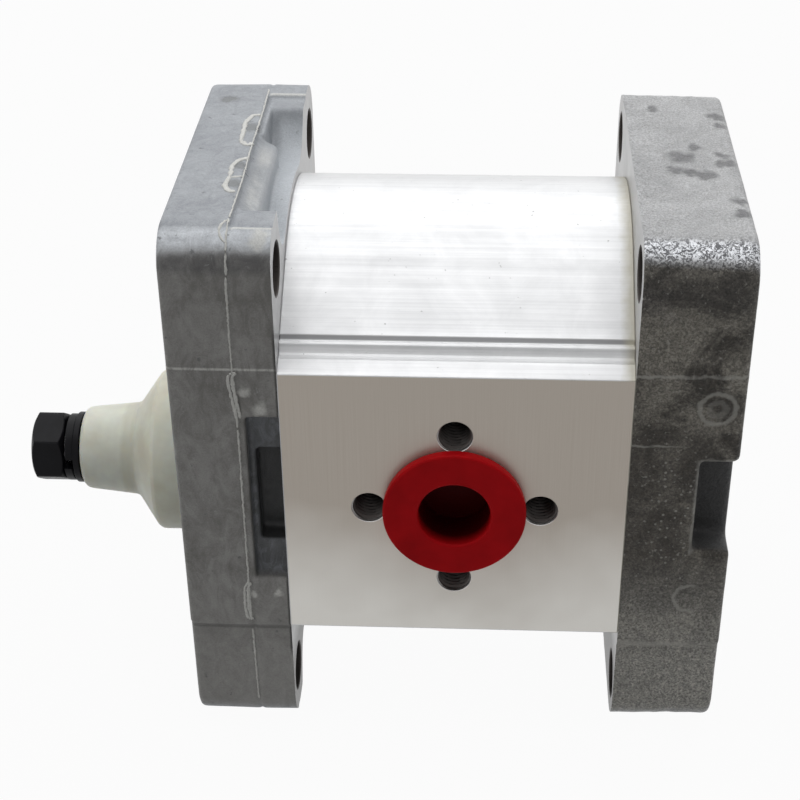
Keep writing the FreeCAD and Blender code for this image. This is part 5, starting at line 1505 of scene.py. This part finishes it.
class PUMP_OT_stage(bpy.types.Operator):
    """Adds the floor, the soft lights and the camera"""
    bl_idname = "pump.stage"
    bl_label = "Stage"

    def execute(self, context):
        scene = context.scene
        scene.view_settings.view_transform = "Standard"
        self.make_world(scene)
        self.make_floor()
        self.make_lights()
        self.make_camera(scene)
        return {"FINISHED"}

    @staticmethod
    def seen_directly(tree):
        """A socket that is 1 for camera, glossy and transmission rays."""
        rays = tree.nodes.new("ShaderNodeLightPath")
        total = rays.outputs["Is Camera Ray"]
        for name in ("Is Glossy Ray", "Is Transmission Ray"):
            larger = tree.nodes.new("ShaderNodeMath")
            larger.operation = "MAXIMUM"
            tree.links.new(total, larger.inputs[0])
            tree.links.new(rays.outputs[name], larger.inputs[1])
            total = larger.outputs[0]
        return total

    def make_world(self, scene):
        world = bpy.data.worlds.new("soft_studio")
        world.use_nodes = True
        tree = world.node_tree
        tree.nodes.clear()
        fill = tree.nodes.new("ShaderNodeBackground")
        fill.inputs["Strength"].default_value = WORLD_FILL
        white = tree.nodes.new("ShaderNodeBackground")
        white.inputs["Strength"].default_value = 1.0
        mix = tree.nodes.new("ShaderNodeMixShader")
        output = tree.nodes.new("ShaderNodeOutputWorld")
        for background in (fill, white):
            background.inputs["Color"].default_value = (1, 1, 1, 1)
        tree.links.new(self.seen_directly(tree), mix.inputs[0])
        tree.links.new(fill.outputs[0], mix.inputs[1])
        tree.links.new(white.outputs[0], mix.inputs[2])
        tree.links.new(mix.outputs[0], output.inputs[0])
        scene.world = world

    def make_floor(self):
        half = sizes().floor_size / MM / 2
        level = CAD_BOX[0][2] / MM - 0.05
        mesh = mesh_from("floor", [(-half, -half, level), (half, -half, level), (half, half, level),
                                   (-half, half, level)], [(0, 1, 2, 3)])
        material = bpy.data.materials.new("pale_floor")
        material.use_nodes = True
        tree = material.node_tree
        tree.nodes.clear()
        matt = tree.nodes.new("ShaderNodeBsdfDiffuse")
        matt.inputs["Color"].default_value = (*colours().floor, 1)
        glow = tree.nodes.new("ShaderNodeEmission")
        share = tree.nodes.new("ShaderNodeMath")
        share.operation = "MULTIPLY"
        share.inputs[1].default_value = FLOOR_WHITE
        mix = tree.nodes.new("ShaderNodeMixShader")
        output = tree.nodes.new("ShaderNodeOutputMaterial")
        tree.links.new(self.seen_directly(tree), share.inputs[0])
        tree.links.new(share.outputs[0], mix.inputs[0])
        tree.links.new(matt.outputs[0], mix.inputs[1])
        tree.links.new(glow.outputs[0], mix.inputs[2])
        tree.links.new(mix.outputs[0], output.inputs[0])
        mesh.materials.append(material)
        floor = bpy.data.objects.new("floor", mesh)
        bpy.context.scene.collection.objects.link(floor)

    @staticmethod
    def make_lights():
        for name, place, side, power in LAMPS:
            light = bpy.data.lights.new(name, "AREA")
            light.size = side
            light.energy = power
            lamp = bpy.data.objects.new(name, light)
            lamp.location = place
            lamp.rotation_euler = (LAMPS_AIM - Vector(place)).to_track_quat("-Z", "Y").to_euler()
            bpy.context.scene.collection.objects.link(lamp)

    @staticmethod
    def make_camera(scene):
        pitch, yaw, roll = (math.radians(angle) for angle in CAMERA_ANGLES)
        ahead = Vector((math.sin(yaw) * math.cos(pitch), math.cos(yaw) * math.cos(pitch), -math.sin(pitch)))
        level = Vector((math.cos(yaw), -math.sin(yaw), 0))
        above = level.cross(ahead)
        right = level * math.cos(roll) + above * math.sin(roll)
        up = above * math.cos(roll) - level * math.sin(roll)
        data = bpy.data.cameras.new("camera")
        data.lens = CAMERA_LENS
        data.sensor_width = 36
        data.shift_x, data.shift_y = CAMERA_SHIFT
        camera = bpy.data.objects.new("camera", data)
        turn = Matrix((right, up, -ahead)).transposed()
        camera.matrix_world = Matrix.Translation(CAMERA_PLACE) @ turn.to_4x4()
        scene.collection.objects.link(camera)
        scene.camera = camera


# Pieces


def add_shells(name, parts, finish_name, body, node, crease):
    """A piece joined from closed shells, smooth up to an angle in degrees."""
    mesh = join_parts(name, parts)
    face_outwards(mesh)
    piece = add_piece(name, mesh, [finishes()[finish_name]], body, [node])
    smooth_by_angle(piece, crease)


def add_cover(name, mesh, finish_name, node, cutters):
    """A casting with its machined planes and holes cut into it."""
    made = finishes()
    materials = [made[finish_name], made["faced"], made["bored"]]
    cover = add_piece(name, mesh, materials, "housing", [node])
    for number, (index, shells) in enumerate(cutters):
        cut_with(cover, shells, index, f"{name}_cutter_{number}")
    crease_machined_edges(cover.data)


class PUMP_OT_front_cover(bpy.types.Operator):
    """Builds the die-cast front cover"""
    bl_idname = "pump.front_cover"
    bl_label = "Front cover"

    def execute(self, context):
        add_cover("front_cover_casting", front_cover_mesh(), "die_cast", "front_cover",
                  front_cover_cutters())
        return {"FINISHED"}


class PUMP_OT_flash(bpy.types.Operator):
    """Adds the flash that the die left along the front cover's parting line"""
    bl_idname = "pump.flash"
    bl_label = "Casting flash"

    def execute(self, context):
        random = np.random.default_rng(FLASH_SEED)
        limit = np.array([FRONT_HIGH[0], COVER_HALF_WIDTH, FRONT_TOP]) - 0.01
        parts = []
        for route, width in flash_routes():
            points, faces = bead_part(route, width, random)
            parts.append((np.clip(points, -limit, limit), faces))
        mesh = join_parts("front_cover_flash", parts)
        face_outwards(mesh)
        mesh.shade_smooth()
        add_piece("front_cover_flash", mesh, [finishes()["flash"]], "housing")
        return {"FINISHED"}


class PUMP_OT_rear_cover(bpy.types.Operator):
    """Builds the sand-cast rear cover"""
    bl_idname = "pump.rear_cover"
    bl_label = "Rear cover"

    def execute(self, context):
        add_cover("rear_cover_casting", rear_cover_mesh(), "sand_cast", "rear_cover",
                  rear_cover_cutters())
        return {"FINISHED"}


class PUMP_OT_body(bpy.types.Operator):
    """Builds the extruded body with its chambers, ports and holes"""
    bl_idname = "pump.body"
    bl_label = "Body"

    def execute(self, context):
        outline = body_outline()
        edge = sizes().machined_edge / MM
        broken = inset_outline(outline, edge)
        rings = ((BODY_START, broken), (BODY_START + edge, outline), (BODY_END - edge, outline),
                 (BODY_END, broken))
        points = [(along, across, up) for along, ring in rings for across, up in ring]
        mesh = mesh_from("pump_body_extrusion", points, capped_faces(len(rings), len(outline)))
        face_outwards(mesh)
        mark_body_faces(mesh)
        made = finishes()
        body = add_piece("pump_body_extrusion", mesh, [made["extruded"], made["milled"], made["bored"]],
                         "housing", ["pump_body"])
        for number, parts in enumerate(body_cutters()):
            cut_with(body, parts, 2, f"body_cutter_{number}")
        smooth_by_angle(body)
        return {"FINISHED"}


class PUMP_OT_port_threads(bpy.types.Operator):
    """Cuts the threads of the eight tapped holes round the ports"""
    bl_idname = "pump.port_threads"
    bl_label = "Port threads"

    def execute(self, context):
        for name, port in (("inlet_threads", INLET), ("outlet_threads", OUTLET)):
            parts = [tapped_sleeve(port, across, up) for across, up in stud_places(port)]
            mesh = join_parts(name, parts)
            face_outwards(mesh)
            mesh.shade_smooth()
            mesh.set_sharp_from_angle(angle=math.radians(60))
            add_piece(name, mesh, [finishes()["bored"]], "housing")
        return {"FINISHED"}


class PUMP_OT_port_plugs(bpy.types.Operator):
    """Builds the two moulded transport plugs"""
    bl_idname = "pump.port_plugs"
    bl_label = "Port plugs"

    def execute(self, context):
        for name, node, body, port in (
                ("inlet_plug_moulding", "inlet_port_plug", "inlet_plug", INLET),
                ("outlet_plug_moulding", "outlet_port_plug", "outlet_plug", OUTLET)):
            out = port["facing"] * PLUG_STANDS_OUT
            part = placed(lathe(plug_profile(port["bore"], port["flange"]), 160), port_frame(port))
            add_shells(name, [shifted(part, across=out)], "red_plastic", body, node, 50)
        return {"FINISHED"}


class PUMP_OT_shaft(bpy.types.Operator):
    """Builds the drive shaft with its taper, thread and gear"""
    bl_idname = "pump.shaft"
    bl_label = "Drive shaft"

    def execute(self, context):
        shells = [drive_shaft_part(), threaded_end(NUT_LOW[0], THREAD_END)]
        teeth = [gear_part(math.pi / 2)]
        for name, parts in (("drive_shaft_turning", shells), ("drive_gear_teeth", teeth)):
            on_axis = [shifted(part, up=-AXIS_HEIGHT) for part in parts]
            add_shells(name, on_axis, "gear_steel", "drive_shaft", "drive_gear_shaft", 38)
        return {"FINISHED"}


class PUMP_OT_protector(bpy.types.Operator):
    """Builds the milky cap over the shaft end"""
    bl_idname = "pump.protector"
    bl_label = "Shaft protector"

    def execute(self, context):
        part = shifted(lathe(soften(protector_profile(), 0.8), 160), up=-AXIS_HEIGHT)
        add_shells("shaft_protector_moulding", [part], "natural_plastic", "protector",
                   "shaft_protector", 50)
        return {"FINISHED"}


class PUMP_OT_nut_set(bpy.types.Operator):
    """Builds the shaft nut and its two washers"""
    bl_idname = "pump.nut_set"
    bl_label = "Nut and washers"

    def execute(self, context):
        bore = THREAD_RADIUS + 0.05
        nut = shifted(nut_part(NUT_HIGH[0] - NUT_LOW[0], NUT_HALF_FLATS, bore), along=NUT_LOW[0])
        spring = split_washer_part(SPRING_LOW[0], SPRING_HIGH[0], bore, SPRING_OUTER)
        thickness = WASHER_HIGH[0] - WASHER_LOW[0]
        section = [(0, bore), (thickness, bore), (thickness, WASHER_OUTER), (0, WASHER_OUTER)]
        flat = shifted(lathe(soften(section, 0.25, 4), 96), along=WASHER_LOW[0])
        for name, node, part in (("shaft_nut_forging", "shaft_nut", nut),
                                 ("spring_washer_coil", "spring_washer", spring),
                                 ("flat_washer_disc", "flat_washer", flat)):
            add_shells(name, [shifted(part, up=-AXIS_HEIGHT)], "black_steel", "nut_set",
                       node, 22)
        return {"FINISHED"}


class PUMP_OT_inner_pieces(bpy.types.Operator):
    """Gives the carried-over CAD pieces their finishes"""
    bl_idname = "pump.inner_pieces"
    bl_label = "Inner pieces"

    def execute(self, context):
        by_slot = {
            "gear_steel": "gear_steel", "bearing_aluminium": "bearing", "bush_bronze": "bronze",
            "black_steel": "black_steel", "screw_steel": "screw_steel", "seal_rubber": "rubber",
            "backup_plastic": "backup_plastic", "natural_plastic": "natural_plastic",
            "red_plastic": "red_plastic", "cast_aluminium": "die_cast", "sand_cast_aluminium": "sand_cast",
            "extruded_aluminium": "extruded"}
        made = finishes()
        for subpart in frame["record"]["subparts"]:
            node = frame["nodes"][subpart["node"]]
            node.data.materials.clear()
            node.data.materials.append(made[by_slot[subpart["material_slot"]]])
        return {"FINISHED"}


class PUMP_PT_panel(bpy.types.Panel):
    """Lists the pump's pieces in the sidebar"""
    bl_idname = "PUMP_PT_panel"
    bl_label = "Gear pump"
    bl_space_type = "VIEW_3D"
    bl_region_type = "UI"
    bl_category = "Gear pump"

    def draw(self, context):
        for group in (context.scene.pump_sizes, context.scene.pump_colours):
            for name in group.__annotations__:
                self.layout.prop(group, name)
        for operator in OPERATORS:
            self.layout.operator(operator.bl_idname)


OPERATORS = (
    PUMP_OT_stage, PUMP_OT_inner_pieces, PUMP_OT_front_cover, PUMP_OT_flash, PUMP_OT_rear_cover,
    PUMP_OT_body, PUMP_OT_port_threads, PUMP_OT_port_plugs, PUMP_OT_shaft, PUMP_OT_protector,
    PUMP_OT_nut_set)
CLASSES = (PumpSizes, PumpColours, *OPERATORS, PUMP_PT_panel)


def register():
    for item in CLASSES:
        bpy.utils.register_class(item)
    bpy.types.Scene.pump_sizes = bpy.props.PointerProperty(type=PumpSizes)
    bpy.types.Scene.pump_colours = bpy.props.PointerProperty(type=PumpColours)


def unregister():
    del bpy.types.Scene.pump_colours
    del bpy.types.Scene.pump_sizes
    for item in reversed(CLASSES):
        bpy.utils.unregister_class(item)


def main():
    register()
    for operator in OPERATORS:
        group, name = operator.bl_idname.split(".")
        getattr(getattr(bpy.ops, group), name)()


if __name__ == "__main__":
    main()
